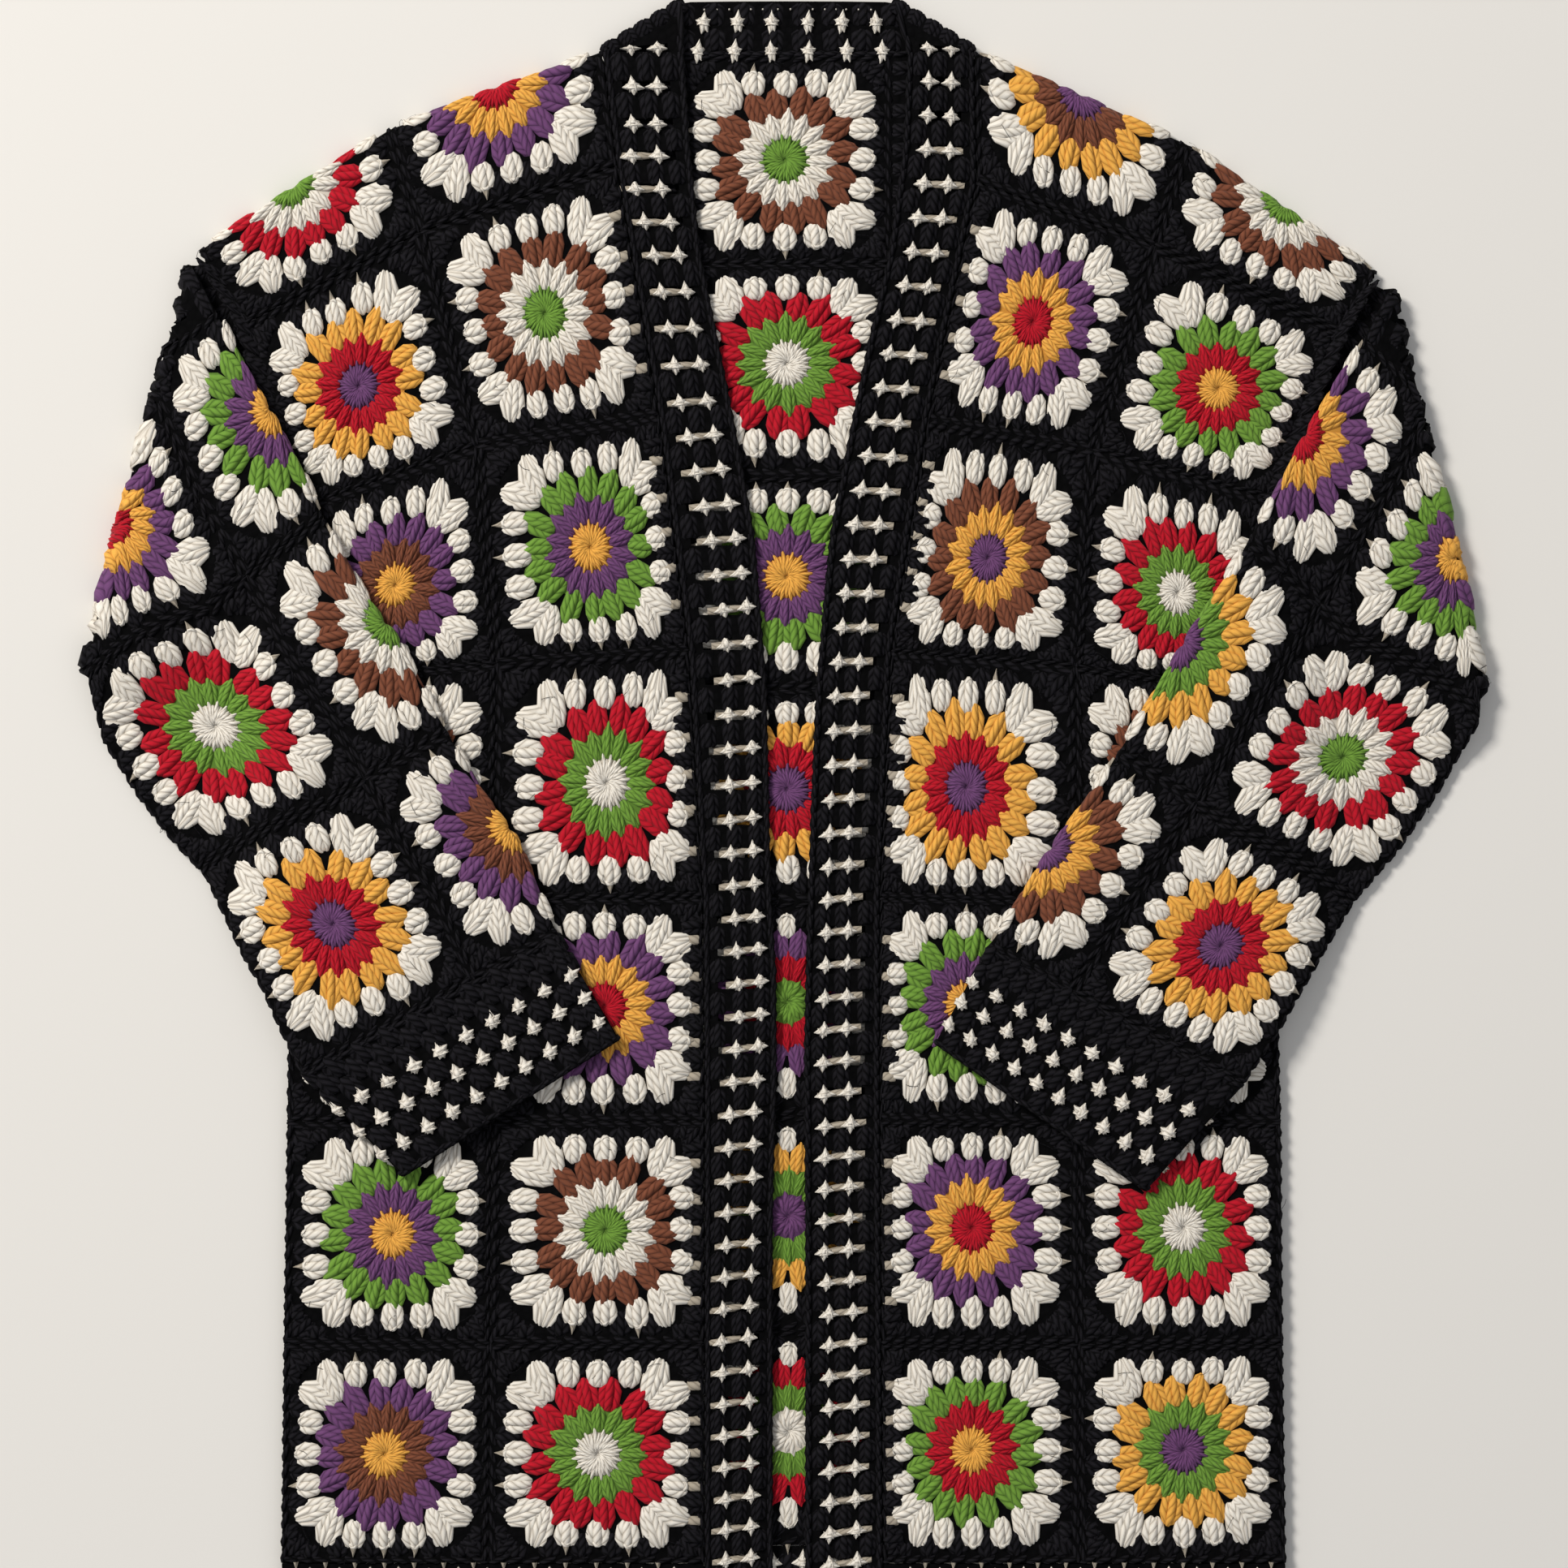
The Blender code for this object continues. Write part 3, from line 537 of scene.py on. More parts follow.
class YarnHeap:
    # Gathers yarn pieces in flat square coordinates before they are laid on a surface

    def __init__(self, seed, plain=False):
        self.plain = plain
        self.random = random.Random(seed)
        self.points, self.faces, self.yarn, self.maps = [], [], [], []
        self.count = 0

    def off(self, most):
        # A chance amount, up to this much either way
        return self.random.uniform(-most, most)

    def add(self, points, quads, yarn, pairs, tint):
        # Points, their faces, and where the corners of each face lie on the tile of its yarn
        self.points.append(points)
        self.faces.append(quads + self.count)
        self.yarn += [yarn] * len(quads)
        pairs = np.broadcast_to(pairs, (len(quads), 4, 2))
        self.maps.append(np.concatenate([pairs, np.full((len(quads), 4, 1), tint)], -1))
        self.count += len(points)

    def strand(self, path, width, height, yarn, heel=0.45, tip=0.3, base=-0.5, taper=False, turned=False):
        # A piece of yarn along a path: half width and height in mm, ends rounded off
        arch = arches["plain" if self.plain else "dark" if yarn in ("black", "shadow") else "fine"]
        shares = np.array(arch["rings"])
        across = arch["across"]
        path = np.asarray(path, float)
        if len(path) == 3:
            t = shares[:, None]
            line = path[0] * (1 - t) ** 2 + path[1] * 2 * t * (1 - t) + path[2] * t * t
        else:
            marks = np.linspace(0.0, 1.0, len(path))
            line = np.stack([np.interp(shares, marks, path[:, k]) for k in range(2)], -1)
        if taper:
            wide = width * (1.0 - 0.96 * shares)
            tall = height * (1.0 - 0.4 * shares)
        else:
            widths = [heel, 0.5 + 0.5 * heel, 0.97, 1.05, 0.55 + 0.4 * tip, tip]
            wide = width * np.interp(shares, ringShares, widths)
            tall = height * np.interp(shares, ringShares, [0.25, 0.62, 0.97, 1.0, 0.74, 0.06])
        run = np.gradient(line, axis=0)
        run /= np.linalg.norm(run, axis=1)[:, None] + 1e-9
        aside = np.stack([-run[:, 1], run[:, 0]], -1)
        angles = np.linspace(math.pi, 0.0, across)
        flat = line[:, None, :] + aside[:, None, :] * (wide[:, None] * np.cos(angles))[:, :, None]
        high = base + (tall[:, None] - base) * np.sin(angles) ** 0.8
        points = np.concatenate([flat, high[:, :, None]], -1).reshape(-1, 3)
        runs = np.linalg.norm(np.diff(line, axis=0), axis=1)
        along = np.concatenate(([0.0], np.cumsum(runs))) / yarnLook["tileLengthMm"]
        along = np.clip(self.random.random() * 0.35 + along, 0.0, 1.0)
        grid = np.arange(len(points)).reshape(-1, across)
        quads = np.stack([grid[:-1, :-1], grid[:-1, 1:], grid[1:, 1:], grid[1:, :-1]], -1).reshape(-1, 4)
        u = np.linspace(1.0, 0.0, across) if turned else np.linspace(0.0, 1.0, across)
        pairs = np.stack(np.broadcast_arrays(u[None, :], along[:, None]), -1).reshape(-1, 2)
        self.add(points, quads, yarn, pairs[quads], self.random.randrange(2))

    def cluster(self, start, end, spread, strands, width, height, yarn, tip=0.35, heel=0.2, bend=0.0,
                form="full", crown=0.2, strandTip=0.3):
        # Strands worked together in a bunch: narrow at the heel, full near the top or pointed like a petal
        start = np.asarray(start, float)
        end = np.asarray(end, float)
        run = end - start
        length = np.linalg.norm(run)
        run = run / length
        aside = np.array([-run[1], run[0]])
        forms = {
            "full": [heel, heel * 0.6 + 0.3, 0.86, 1.0, 0.62 + tip * 0.35, tip],
            "petal": [heel, heel * 0.6 + 0.3, 0.92, 1.0, 0.76, 0.22],
            "leaf": [heel, 0.72, 1.0, 0.97, 0.66, 0.22],
            "round": [0.5, 0.74, 1.0, 1.0, 0.78, 0.5],
        }
        order = [k - (strands - 1) / 2.0 for k in range(strands)]
        order.sort(key=abs, reverse=True)
        half = max(0.5, (strands - 1) / 2.0)
        for k in order:
            offset = k / half * spread
            wobble = self.off(0.3)
            short = 1.0 - 0.07 * abs(k) / half - self.random.uniform(0.0, 0.03)
            path = [
                start + run * length * s * short
                + aside * (offset * p + wobble * math.sin(3 * s) + bend * math.sin(math.pi * s))
                for s, p in zip(ringShares, forms[form])
            ]
            near = 1.0 - crown * abs(k) / half
            self.strand(path, width, height * near, yarn, tip=strandTip, turned=k < 0)

    def hair(self, x, y, yarn, length=8.0, thick=0.13):
        # A loose fibre: a thin bent ribbon standing a little over the stitches
        rnd = self.random
        turn = rnd.uniform(0, 2 * math.pi)
        bend = self.off(1.4)
        rise = rnd.uniform(2.2, 3.4)
        points = []
        for k in range(4):
            way = turn + bend * k / 3.0
            for side in (-1.0, 1.0):
                points.append((x + side * math.sin(way) * thick, y - side * math.cos(way) * thick,
                               rise - 0.5 * abs(k - 1.5)))
            x += math.cos(way) * length / 3.0
            y += math.sin(way) * length / 3.0
        quads = np.array([[2 * k, 2 * k + 2, 2 * k + 3, 2 * k + 1] for k in range(3)])
        self.add(np.array(points), quads, yarn, [[0.45, 0.2], [0.45, 0.6], [0.55, 0.6], [0.55, 0.2]], 1)

    def patch(self, inner, outer, height, yarn, sides=32):
        # Low ground in one yarn between two radii, so no gap shows between its stitches; its map lies near
        # the tile's edge, so it takes the yarn's painted shade
        angles = np.arange(sides) * 2 * math.pi / sides
        rings = [np.stack([far * np.cos(angles), far * np.sin(angles), np.full(sides, height)], -1)
                 for far in (inner, outer)]
        k = np.arange(sides)
        n = (k + 1) % sides
        quads = np.stack([k, k + sides, n + sides, n], -1)
        self.add(np.concatenate(rings), quads, yarn,
                 [[0.0, 0.0], [0.0, 0.004], [0.004, 0.004], [0.004, 0.0]], 0)

    def done(self):
        return {"points": np.concatenate(self.points), "faces": np.concatenate(self.faces),
                "yarn": list(self.yarn), "maps": np.concatenate(self.maps)}


squareLook = {
    "rays": 16,
    "hairs": 16,
    "seams": 13,  # edge stitches on each side
    "discMm": 13.4,  # radius of the middle
    "petalMm": (11.8, 29.4),  # second round, from and to
    "leafMm": (23.5, 42.0),  # third round, from and to
    "dropMm": (36.0, 51.3),  # drops, from and to
    "blackMm": (42.5, 55.8),  # black clusters, from and to
    "heightsMm": {"disc": 2.7, "petal": 3.0, "leaf": 3.0, "drop": 3.1, "black": 2.5, "seam": 1.7},
    "dropsAtMm": (-17.4, 0.0, 17.4),  # along each side
    "blackAtMm": (-44.5, -26.5, -8.8, 8.8, 26.5, 44.5),
    # Flecks are cream yarn in painted shade
    "fleckShare": 0.42,  # how many drops have a pale fleck above them
    # Bunches: how far the strands spread, how many there are, half width of one
    "leaf": (4.1, 3, 2.6),
    "petal": (2.6, 3, 1.75),
    "black": (4.6, 3, 3.1),
    "blackCorner": (4.2, 3, 2.8),
    "drop": (4.6, 3, 2.9),
    "fan": (5.6, 4, 2.6),
}


def polar(radius, angle):
    return (radius * math.cos(angle), radius * math.sin(angle))


def makeSquare(seed, plain=False):
    # Stitches of one square on a flat cell; its yarns are named by round
    look = squareLook
    tall = look["heightsMm"]
    heap = YarnHeap(seed, plain)
    rnd = heap.random
    off = heap.off
    rays = look["rays"]
    # Low grounds under the rounds, in each yarn's painted shade between the stitches
    heap.patch(0.0, 12.0, 0.3, "centre")
    heap.patch(11.0, 25.0, 0.2, "second")
    heap.patch(24.0, 29.5, 0.1, "third")
    turn0 = rnd.uniform(0, 0.3)
    turn1 = turn0 + math.pi / rays
    turn2 = turn1 + math.pi / rays
    # Third round first, so the earlier rounds overlap it as they do in the worked square
    for k in range(rays):
        angle = turn2 + 2 * math.pi * (k + off(0.08)) / rays
        lean = off(0.05)
        end = (look["leafMm"][1] + 3.5 * abs(math.sin(2 * angle)) ** 2) * rnd.uniform(0.97, 1.03)
        heap.cluster(polar(look["leafMm"][0], angle), polar(end, angle + lean), *look["leaf"], tall["leaf"],
                     "third", heel=0.4, form="leaf", bend=off(0.7), crown=0.5, strandTip=0.45)
    for k in range(rays):
        angle = turn1 + 2 * math.pi * (k + off(0.08)) / rays
        end = look["petalMm"][1] * rnd.uniform(0.95, 1.04)
        heap.cluster(polar(look["petalMm"][0], angle), polar(end, angle + off(0.05)), *look["petal"],
                     tall["petal"], "second", heel=0.4, form="petal", crown=0.42, strandTip=0.45)
    spokes = rays if plain else 2 * rays
    for k in range(spokes):
        angle = turn0 + 2 * math.pi * (k + off(0.2)) / spokes
        end = look["discMm"] * (0.93 if k % 2 else 1.12) * rnd.uniform(0.96, 1.04)
        heap.strand([polar(0.8, angle), polar(end, angle)], 1.4 * (2 if plain else 1), tall["disc"], "centre",
                    heel=0.12, tip=0.15)
    for side in range(4):
        c, s = round(math.cos(side * math.pi / 2)), round(math.sin(side * math.pi / 2))

        def turned(p, q):
            return (p * c - q * s, p * s + q * c)

        # Black clusters first, then the drops and fans that stand over them
        for p in look["blackAtMm"]:
            p += off(0.8)
            out = look["blackMm"][1] + off(0.6)
            inner = look["blackMm"][0] if abs(p) < 40 else 49.0
            heap.cluster(turned(p * 0.97, inner), turned(p, out), *look["black"], tall["black"], "black",
                         form="round", crown=0.45, strandTip=0.5)
        heap.cluster(turned(45.5, 45.5), turned(54.8, 54.8), *look["blackCorner"], tall["black"], "black",
                     form="round", crown=0.45)
        # Slanted seam stitches along the border
        for k in range(look["seams"]):
            p = -halfSquare + (k + 0.5) * squareMm / look["seams"] + off(0.4)
            path = [turned(p - 4.4, 55.4), turned(p, 57.9 + off(0.3)), turned(p + 4.4, 58.5)]
            heap.strand(path, 1.8, tall["seam"] * rnd.uniform(0.9, 1.1), "black")
        for p in look["dropsAtMm"]:
            p += off(0.8)
            out = look["dropMm"][1] + off(1.1)
            # A fleck of cream yarn in painted shade above the drop
            if rnd.random() < look["fleckShare"]:
                q = out - 1.2
                path = [turned(p, q), turned(p, q + 2.5), turned(p + off(0.7), q + 5.2)]
                heap.strand(path, 2.2, 2.3, "shadow", taper=True)
            heap.cluster(turned(p * 0.95, look["dropMm"][0]), turned(p, out), *look["drop"], tall["drop"],
                         "cream", tip=0.5, heel=0.1, bend=off(0.5), crown=0.34, strandTip=0.4)
            top = turned(p + off(0.6), out + 0.6)
            heap.strand([turned(p - 2.6, out - 3.4), top, turned(p + 2.8, out - 3.8)], 1.5,
                        tall["drop"] * 0.9, "cream", heel=0.5, tip=0.5)
        # Double clusters at the corner
        one = off(0.8)
        two = off(0.8)
        for start, end in (((27.0, 28.0), (35.3, 51.5 + one)), ((28.0, 27.0), (51.0 + two, 35.3))):
            heap.cluster(turned(*start), turned(*end), *look["fan"], tall["drop"], "cream",
                         tip=0.45, heel=0.2, crown=0.36)
    for _ in range(0 if plain else look["hairs"]):
        way = rnd.uniform(0, 2 * math.pi)
        far = rnd.uniform(40.0, 57.0) / max(abs(math.cos(way)), abs(math.sin(way)))
        heap.hair(far * math.cos(way), far * math.sin(way), "black")
    return heap.done()


def makeBandSide(seed):
    # What fills the edge of a front's square beside the band: blocks of cream in painted shade under black
    # clusters
    heap = YarnHeap(seed)
    off = heap.off
    for q in (-36.0, -17.4, 0.0, 17.4, 36.0):
        q += off(0.8)
        heap.strand([(49.6, q), (54.0, q + off(0.6)), (58.0, q)], 3.0, 2.2, "shadow", heel=0.9, tip=0.8)
    for q in (-45.5, -26.7, -8.7, 8.7, 26.7, 45.5):
        q += off(0.6)
        heap.cluster((47.0, q * 0.98), (58.9, q), 4.0, 3, 3.1, 3.8, "black",
                     form="round", crown=0.6, strandTip=0.5)
    return heap.done()


bandSides = [makeBandSide(80 + k) for k in range(4)]
print("stitches: one square worked in several hands")
fineSquares = [makeSquare(11 + k) for k in range(7)]
plainSquares = [makeSquare(51 + k, plain=True) for k in range(3)]


def nth(templates, number):
    # Templates are taken in turn
    return templates[number % len(templates)]


def turnSquare(points, quarter, mirror):
    p, q, h = points[:, 0].copy(), points[:, 1].copy(), points[:, 2]
    if mirror:
        p = -p
    for _ in range(quarter):
        p, q = -q, p
    return p, q, h


class Piece:
    # Everything of one piece of the cardigan that is worked in yarn

    def __init__(self, name):
        self.name = name
        self.points, self.faces, self.yarn, self.maps = [], [], [], []
        self.count = 0

    def lay(self, template, place, toRow, toColumn, colours=None, quarter=0, mirror=False):
        p, q, h = turnSquare(template["points"], quarter, mirror)
        row = toRow(p, q)
        column = toColumn(p, q)
        points = place(row, column, h)
        faces, maps = template["faces"], template["maps"]
        # Keep the faces looking out of the cloth
        quad = points[faces]
        normal = np.cross(quad[:, 2] - quad[:, 0], quad[:, 3] - quad[:, 1])
        out = (points - place(row, column, h - 1.0))[faces].mean(1)
        if (normal * out).sum() < 0:
            faces, maps = faces[:, ::-1], maps[:, ::-1]
        look = dict(zip(("centre", "second", "third"), colours or ()))
        self.points.append(points)
        self.faces.append(faces + self.count)
        self.yarn.append(np.array([yarnNames.index(look.get(name, name)) for name in template["yarn"]]))
        self.maps.append(maps)
        self.count += len(points)

    def put(self, template, place, row, column, rowMm, columnMm):
        # Lays a template with its middle at a row and a column, whose lengths in mm are given
        self.lay(template, place, lambda p, q: row - q / rowMm, lambda p, q: column + p / columnMm)

    def square(self, place, row, column, colours, fine=True, rowSpan=1.0, shift=(0.0, 0.0)):
        pick = random.Random(f"{self.name}{row}{column}")
        templates = fineSquares if fine else plainSquares
        template = templates[pick.randrange(len(templates))]
        quarter = pick.randrange(4)
        mirror = pick.random() < 0.5

        def slide(value, offset):
            # Moves the middle of the square and leaves its edges
            share = np.clip(value / halfSquare, -1.0, 1.0)
            return value + offset * (1.0 - share ** 4)

        self.lay(template, place, lambda p, q: row + rowSpan * (0.5 - slide(q, -shift[1]) / squareMm),
                 lambda p, q: column + 0.5 + slide(p, shift[0]) / squareMm, colours, quarter, mirror)

    def finish(self):
        points = np.concatenate(self.points) * mm
        faces = np.concatenate(self.faces)
        yarn = np.concatenate(self.yarn)
        maps = np.concatenate(self.maps)
        mesh = bpy.data.meshes.new(self.name)
        mesh.vertices.add(len(points))
        mesh.vertices.foreach_set("co", points.astype(np.float32).ravel())
        mesh.loops.add(faces.size)
        mesh.loops.foreach_set("vertex_index", faces.astype(np.int32).ravel())
        mesh.polygons.add(len(faces))
        mesh.polygons.foreach_set("loop_start", np.arange(0, faces.size, 4, dtype=np.int32))
        used = sorted(set(yarn.tolist()))
        for index in used:
            mesh.materials.append(yarnMaterial(yarnNames[index]))
        remap = np.zeros(len(yarnNames), int)
        remap[used] = np.arange(len(used))
        mesh.polygons.foreach_set("material_index", remap[yarn].astype(np.int32))
        mesh.polygons.foreach_set("use_smooth", np.ones(len(faces), bool))
        layer = mesh.uv_layers.new(name="OFBake")
        layer.data.foreach_set("uv", tileCoordinates(yarn, maps).astype(np.float32).ravel())
        mesh.update(calc_edges=True)
        mesh.validate()
        thing = newObject(self.name, mesh)
        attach(thing, "root")
        return thing


def tileCoordinates(yarn, maps):
    # Each yarn and tint has one tile of the map, so every strand of it shares that tile
    tiles = yarnLook["tilesAcross"]
    margin = yarnLook["tileMargin"]
    tile = yarn[:, None] * 2 + maps[:, :, 2]
    column = np.mod(tile, tiles)
    row = np.floor(tile / tiles)
    u = (column + margin + (1 - 2 * margin) * maps[:, :, 0]) / tiles
    v = (row + margin + (1 - 2 * margin) * maps[:, :, 1]) / tiles
    return np.stack([u, v], -1)


def node(tree, kind, **values):
    made = tree.nodes.new(kind)
    for key, value in values.items():
        setattr(made, key, value)
    return made


def sums(tree, operation, *values):
    made = node(tree, "ShaderNodeMath", operation=operation)
    for index, value in enumerate(values):
        if isinstance(value, (int, float)):
            made.inputs[index].default_value = value
        else:
            tree.links.new(value, made.inputs[index])
    return made.outputs[0]


def newObject(name, data):
    thing = bpy.data.objects.new(name, data)
    bpy.context.scene.collection.objects.link(thing)
    return thing


def newMaterial(name):
    material = bpy.data.materials.new(name)
    material.use_nodes = True
    return material, material.node_tree, material.node_tree.nodes["Principled BSDF"]


def colourAndBump(tree, shader, share, first, second, lumps, distance, invert=False):
    # Mixes two tones by a share and raises the lumps
    mixer = node(tree, "ShaderNodeMix", data_type="RGBA")
    mixer.inputs[6].default_value = (*first, 1.0)
    mixer.inputs[7].default_value = (*second, 1.0)
    tree.links.new(share, mixer.inputs["Factor"])
    tree.links.new(mixer.outputs[2], shader.inputs["Base Color"])
    bump = node(tree, "ShaderNodeBump", invert=invert)
    bump.inputs["Strength"].default_value = 0.8
    bump.inputs["Distance"].default_value = distance
    tree.links.new(lumps, bump.inputs["Height"])
    tree.links.new(bump.outputs[0], shader.inputs["Normal"])


def yarnMaterial(name):
    # Plied wool: slanted plies across the strand, fine hair noise, painted shade in the grooves between plies
    # and at the strand's edges
    full = "yarn_" + name
    if full in bpy.data.materials:
        return bpy.data.materials[full]
    look = yarnLook
    dark, light = yarns[name]
    material, tree, shader = newMaterial(full)

    def do(operation, *values):
        return sums(tree, operation, *values)

    uv = node(tree, "ShaderNodeUVMap", uv_map="OFBake")
    parts = node(tree, "ShaderNodeSeparateXYZ")
    tree.links.new(uv.outputs[0], parts.inputs[0])
    u = do("FRACT", do("MULTIPLY", parts.outputs[0], float(look["tilesAcross"])))
    v = do("MULTIPLY", parts.outputs[1], float(look["tilesAcross"]))
    plies = [do("MULTIPLY", way, look[key] * math.pi)
             for way, key in ((v, "pliesPerTile"), (u, "pliesAcross"))]
    phase = do("ADD", *plies)
    ply = do("POWER", do("ABSOLUTE", do("SINE", phase)), 0.55)
    edge = do("POWER", do("MAXIMUM", do("SINE", do("MULTIPLY", u, math.pi)), 0.0), 0.5)
    # Fine hairs run along the ply
    slant = node(tree, "ShaderNodeCombineXYZ")
    tree.links.new(do("MULTIPLY", phase, 0.9), slant.inputs[0])
    tree.links.new(do("MULTIPLY", v, 1.2), slant.inputs[1])
    hairs = node(tree, "ShaderNodeTexNoise", noise_dimensions="3D")
    for key, value in (("Scale", 4.5), ("Detail", 4.0), ("Roughness", 0.65)):
        hairs.inputs[key].default_value = value
    tree.links.new(slant.outputs[0], hairs.inputs["Vector"])
    fibre = hairs.outputs["Fac"]
    # Painted shade: the share of the lit tone drops in the ply grooves and towards the strand's edges; the
    # hair noise varies it at random
    tone = do("ADD", fibre, 0.42)
    tone = do("MULTIPLY", tone, do("ADD", do("MULTIPLY", ply, 0.7), 0.3))
    tone = do("MULTIPLY", tone, do("ADD", do("MULTIPLY", edge, 0.8), 0.2))
    dull = name == "black"
    if dull:
        # Painted highlights on black yarn: only its highest fibres get the lit tone
        tone = do("POWER", tone, look["blackGlintPower"])
    lumps = do("ADD", ply, do("MULTIPLY", fibre, 0.5))
    colourAndBump(tree, shader, tone, dark, light, lumps, look["bumpMm"] * mm)
    tree.links.new(do("ADD", do("MULTIPLY", fibre, 0.12), look["roughness"] - 0.06),
                   shader.inputs["Roughness"])
    shader.inputs["Sheen Weight"].default_value = 0.02 if dull else look["fuzz"] * 0.55
    shader.inputs["Sheen Roughness"].default_value = 0.5
    shader.inputs["Specular IOR Level"].default_value = 0.06 if dull else 0.16
    return material


# The black cloth under the stitches: share of the yarn's lit tone painted on the middle of each loop, loops
# to the metre, bump, roughness, shine
groundLook = {"light": 0.12, "loops": 260.0, "bumpMm": 0.8, "roughness": 0.93, "shine": 0.08}


def shellMaterial():
    name = "ground_black"
    if name in bpy.data.materials:
        return bpy.data.materials[name]
    look = groundLook
    dark, light = yarns["black"]
    material, tree, shader = newMaterial(name)
    spot = node(tree, "ShaderNodeTexCoord")
    loops = node(tree, "ShaderNodeTexVoronoi", feature="F1")
    loops.inputs["Scale"].default_value = look["loops"]
    tree.links.new(spot.outputs["Object"], loops.inputs["Vector"])
    far = loops.outputs["Distance"]
    # Painted shade: each loop is lit in its middle and darkens towards its edges, where the bump sinks as
    # well
    colourAndBump(tree, shader, far, [tone * look["light"] for tone in light], dark, far,
                  look["bumpMm"] * mm, True)
    shader.inputs["Roughness"].default_value = look["roughness"]
    shader.inputs["Specular IOR Level"].default_value = look["shine"]
    return material


def makeShell(name, outside, inside, rows, columns, missing=(), wrapped=False):
    # Thin closed cloth between two surfaces given on a grid of row and column values
    r, c = np.array([(r, c) for r in rows for c in columns]).T
    across = len(columns)
    count = len(r)
    points = np.concatenate([outside(r, c), inside(r, c)])
    last = across if wrapped else across - 1
    cells = {(i, j) for i in range(len(rows) - 1) for j in range(last)} - set(missing)
    faces = []
    for i, j in sorted(cells):
        k = (j + 1) % across
        quad = (i * across + j, i * across + k, (i + 1) * across + k, (i + 1) * across + j)
        faces.append(quad)
        faces.append(tuple(v + count for v in reversed(quad)))
        sides = (
            ((i - 1, j), quad[0], quad[1]), ((i, k if wrapped else j + 1), quad[1], quad[2]),
            ((i + 1, j), quad[2], quad[3]), ((i, (j - 1) % across if wrapped else j - 1), quad[3], quad[0]),
        )
        for neighbour, a, b in sides:
            if neighbour not in cells:
                faces.append((b, a, a + count, b + count))
    mesh = bpy.data.meshes.new(name)
    mesh.from_pydata((points * mm).tolist(), [], faces)
    mesh.validate()
    made = bmesh.new()
    made.from_mesh(mesh)
    loose = [v for v in made.verts if not v.link_faces]
    bmesh.ops.delete(made, geom=loose, context="VERTS")
    if made.calc_volume(signed=True) < 0:
        bmesh.ops.reverse_faces(made, faces=made.faces[:])
    made.normal_update()
    for edge in made.edges:
        if len(edge.link_faces) == 2 and edge.calc_face_angle(0.0) > 0.7:
            edge.smooth = False
    made.to_mesh(mesh)
    made.free()
    mesh.materials.append(shellMaterial())
    mesh.polygons.foreach_set("use_smooth", np.ones(len(mesh.polygons), bool))
    thing = newObject(name, mesh)
    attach(thing, "root")
    return thing


def steps(start, end, count):
    return [start + (end - start) * k / count for k in range(count + 1)]


# How far the cloth of a piece ends before its seams, in squares
seamGap = 0.004


def seamSteps(squares):
    # Eight steps to a square, ending just short of the seams
    return [seamGap] + steps(0, squares, 8 * squares)[1:-1] + [squares - seamGap]


def level(place, depth=0.0, **more):
    # The surface a depth in mm below its stitches
    return lambda r, c: place(r, c, r * 0.0 - depth, **more)


def drop(place, floor):
    # The same plan, set on its own floor
    def made(r, c):
        points = place(r, c, r * 0.0)
        points[:, 2] = floor(r, c)
        return points
    return made


# Small tufts of cream yarn and where their ends reach
starLook = {"heightMm": 3.5, "widthMm": 3.9}
starLegs = ((0.2, 5.5), (-5.8, -1.1), (5.8, -0.7), (0.2, -5.2))
knotLegs = ((0.2, 6.6), (-3.8, 1.9), (3.7, 1.5), (-0.9, -6.2), (1.9, -5.4))
cuffLegs = ((-1.7, 5.6), (-4.4, 0.9), (2.0, -3.0), (-1.6, -2.2))


def makeStar(seed, legs=starLegs, size=1.0):
    # A small tuft of cream yarn: short pointed ends round a full middle
    heap = YarnHeap(seed)
    rnd = heap.random
    off = heap.off
    tall = starLook["heightMm"]
    wide = starLook["widthMm"] * size
    for x, y in legs:
        x = (x + off(0.7)) * size
        y = (y + off(0.6)) * size
        path = [(-x * 0.25, -y * 0.25), (x * 0.4, y * 0.45), (x, y)]
        heap.strand(path, wide, tall * rnd.uniform(0.85, 1.0), "cream", taper=True, turned=x < 0)
    turn = rnd.choice((-1.0, 1.0))
    path = [(-1.9 * size * turn, -1.2 * size), (0, 0.4), (1.9 * size * turn, 1.3 * size)]
    heap.strand(path, wide * 0.6, tall * 1.08, "cream", heel=0.5, tip=0.5)
    return heap.done()


stars = [makeStar(200 + k) for k in range(10)]
knots = [makeStar(240 + k, knotLegs) for k in range(6)]
cuffTufts = [makeStar(270 + k, cuffLegs, 1.15) for k in range(8)]


def makePuffRow(seed, width, pitch, puffs, height=2.6, reach=0.42):
    # One row of black clusters across a band
    heap = YarnHeap(seed)
    off = heap.off
    step = width / puffs
    for k in range(puffs):
        x = -width / 2 + (k + 0.5) * step + off(0.5)
        heap.cluster((x, -pitch * reach), (x + off(0.6), pitch * (reach + 0.02)), step * 0.25, 3,
                     step * 0.24, height, "black", form="round", crown=0.6, strandTip=0.5)
    return heap.done()


def layAcross(piece, template, place, row, column, width, rowScale=1.0, climb=0.0):
    # Puts a small template on a strip whose rows are in mm and whose width in mm is given
    piece.lay(
        template, place,
        lambda p, q: row - q * rowScale - climb * ((column - 0.5) * width + p),
        lambda p, q: column + p / width,
    )


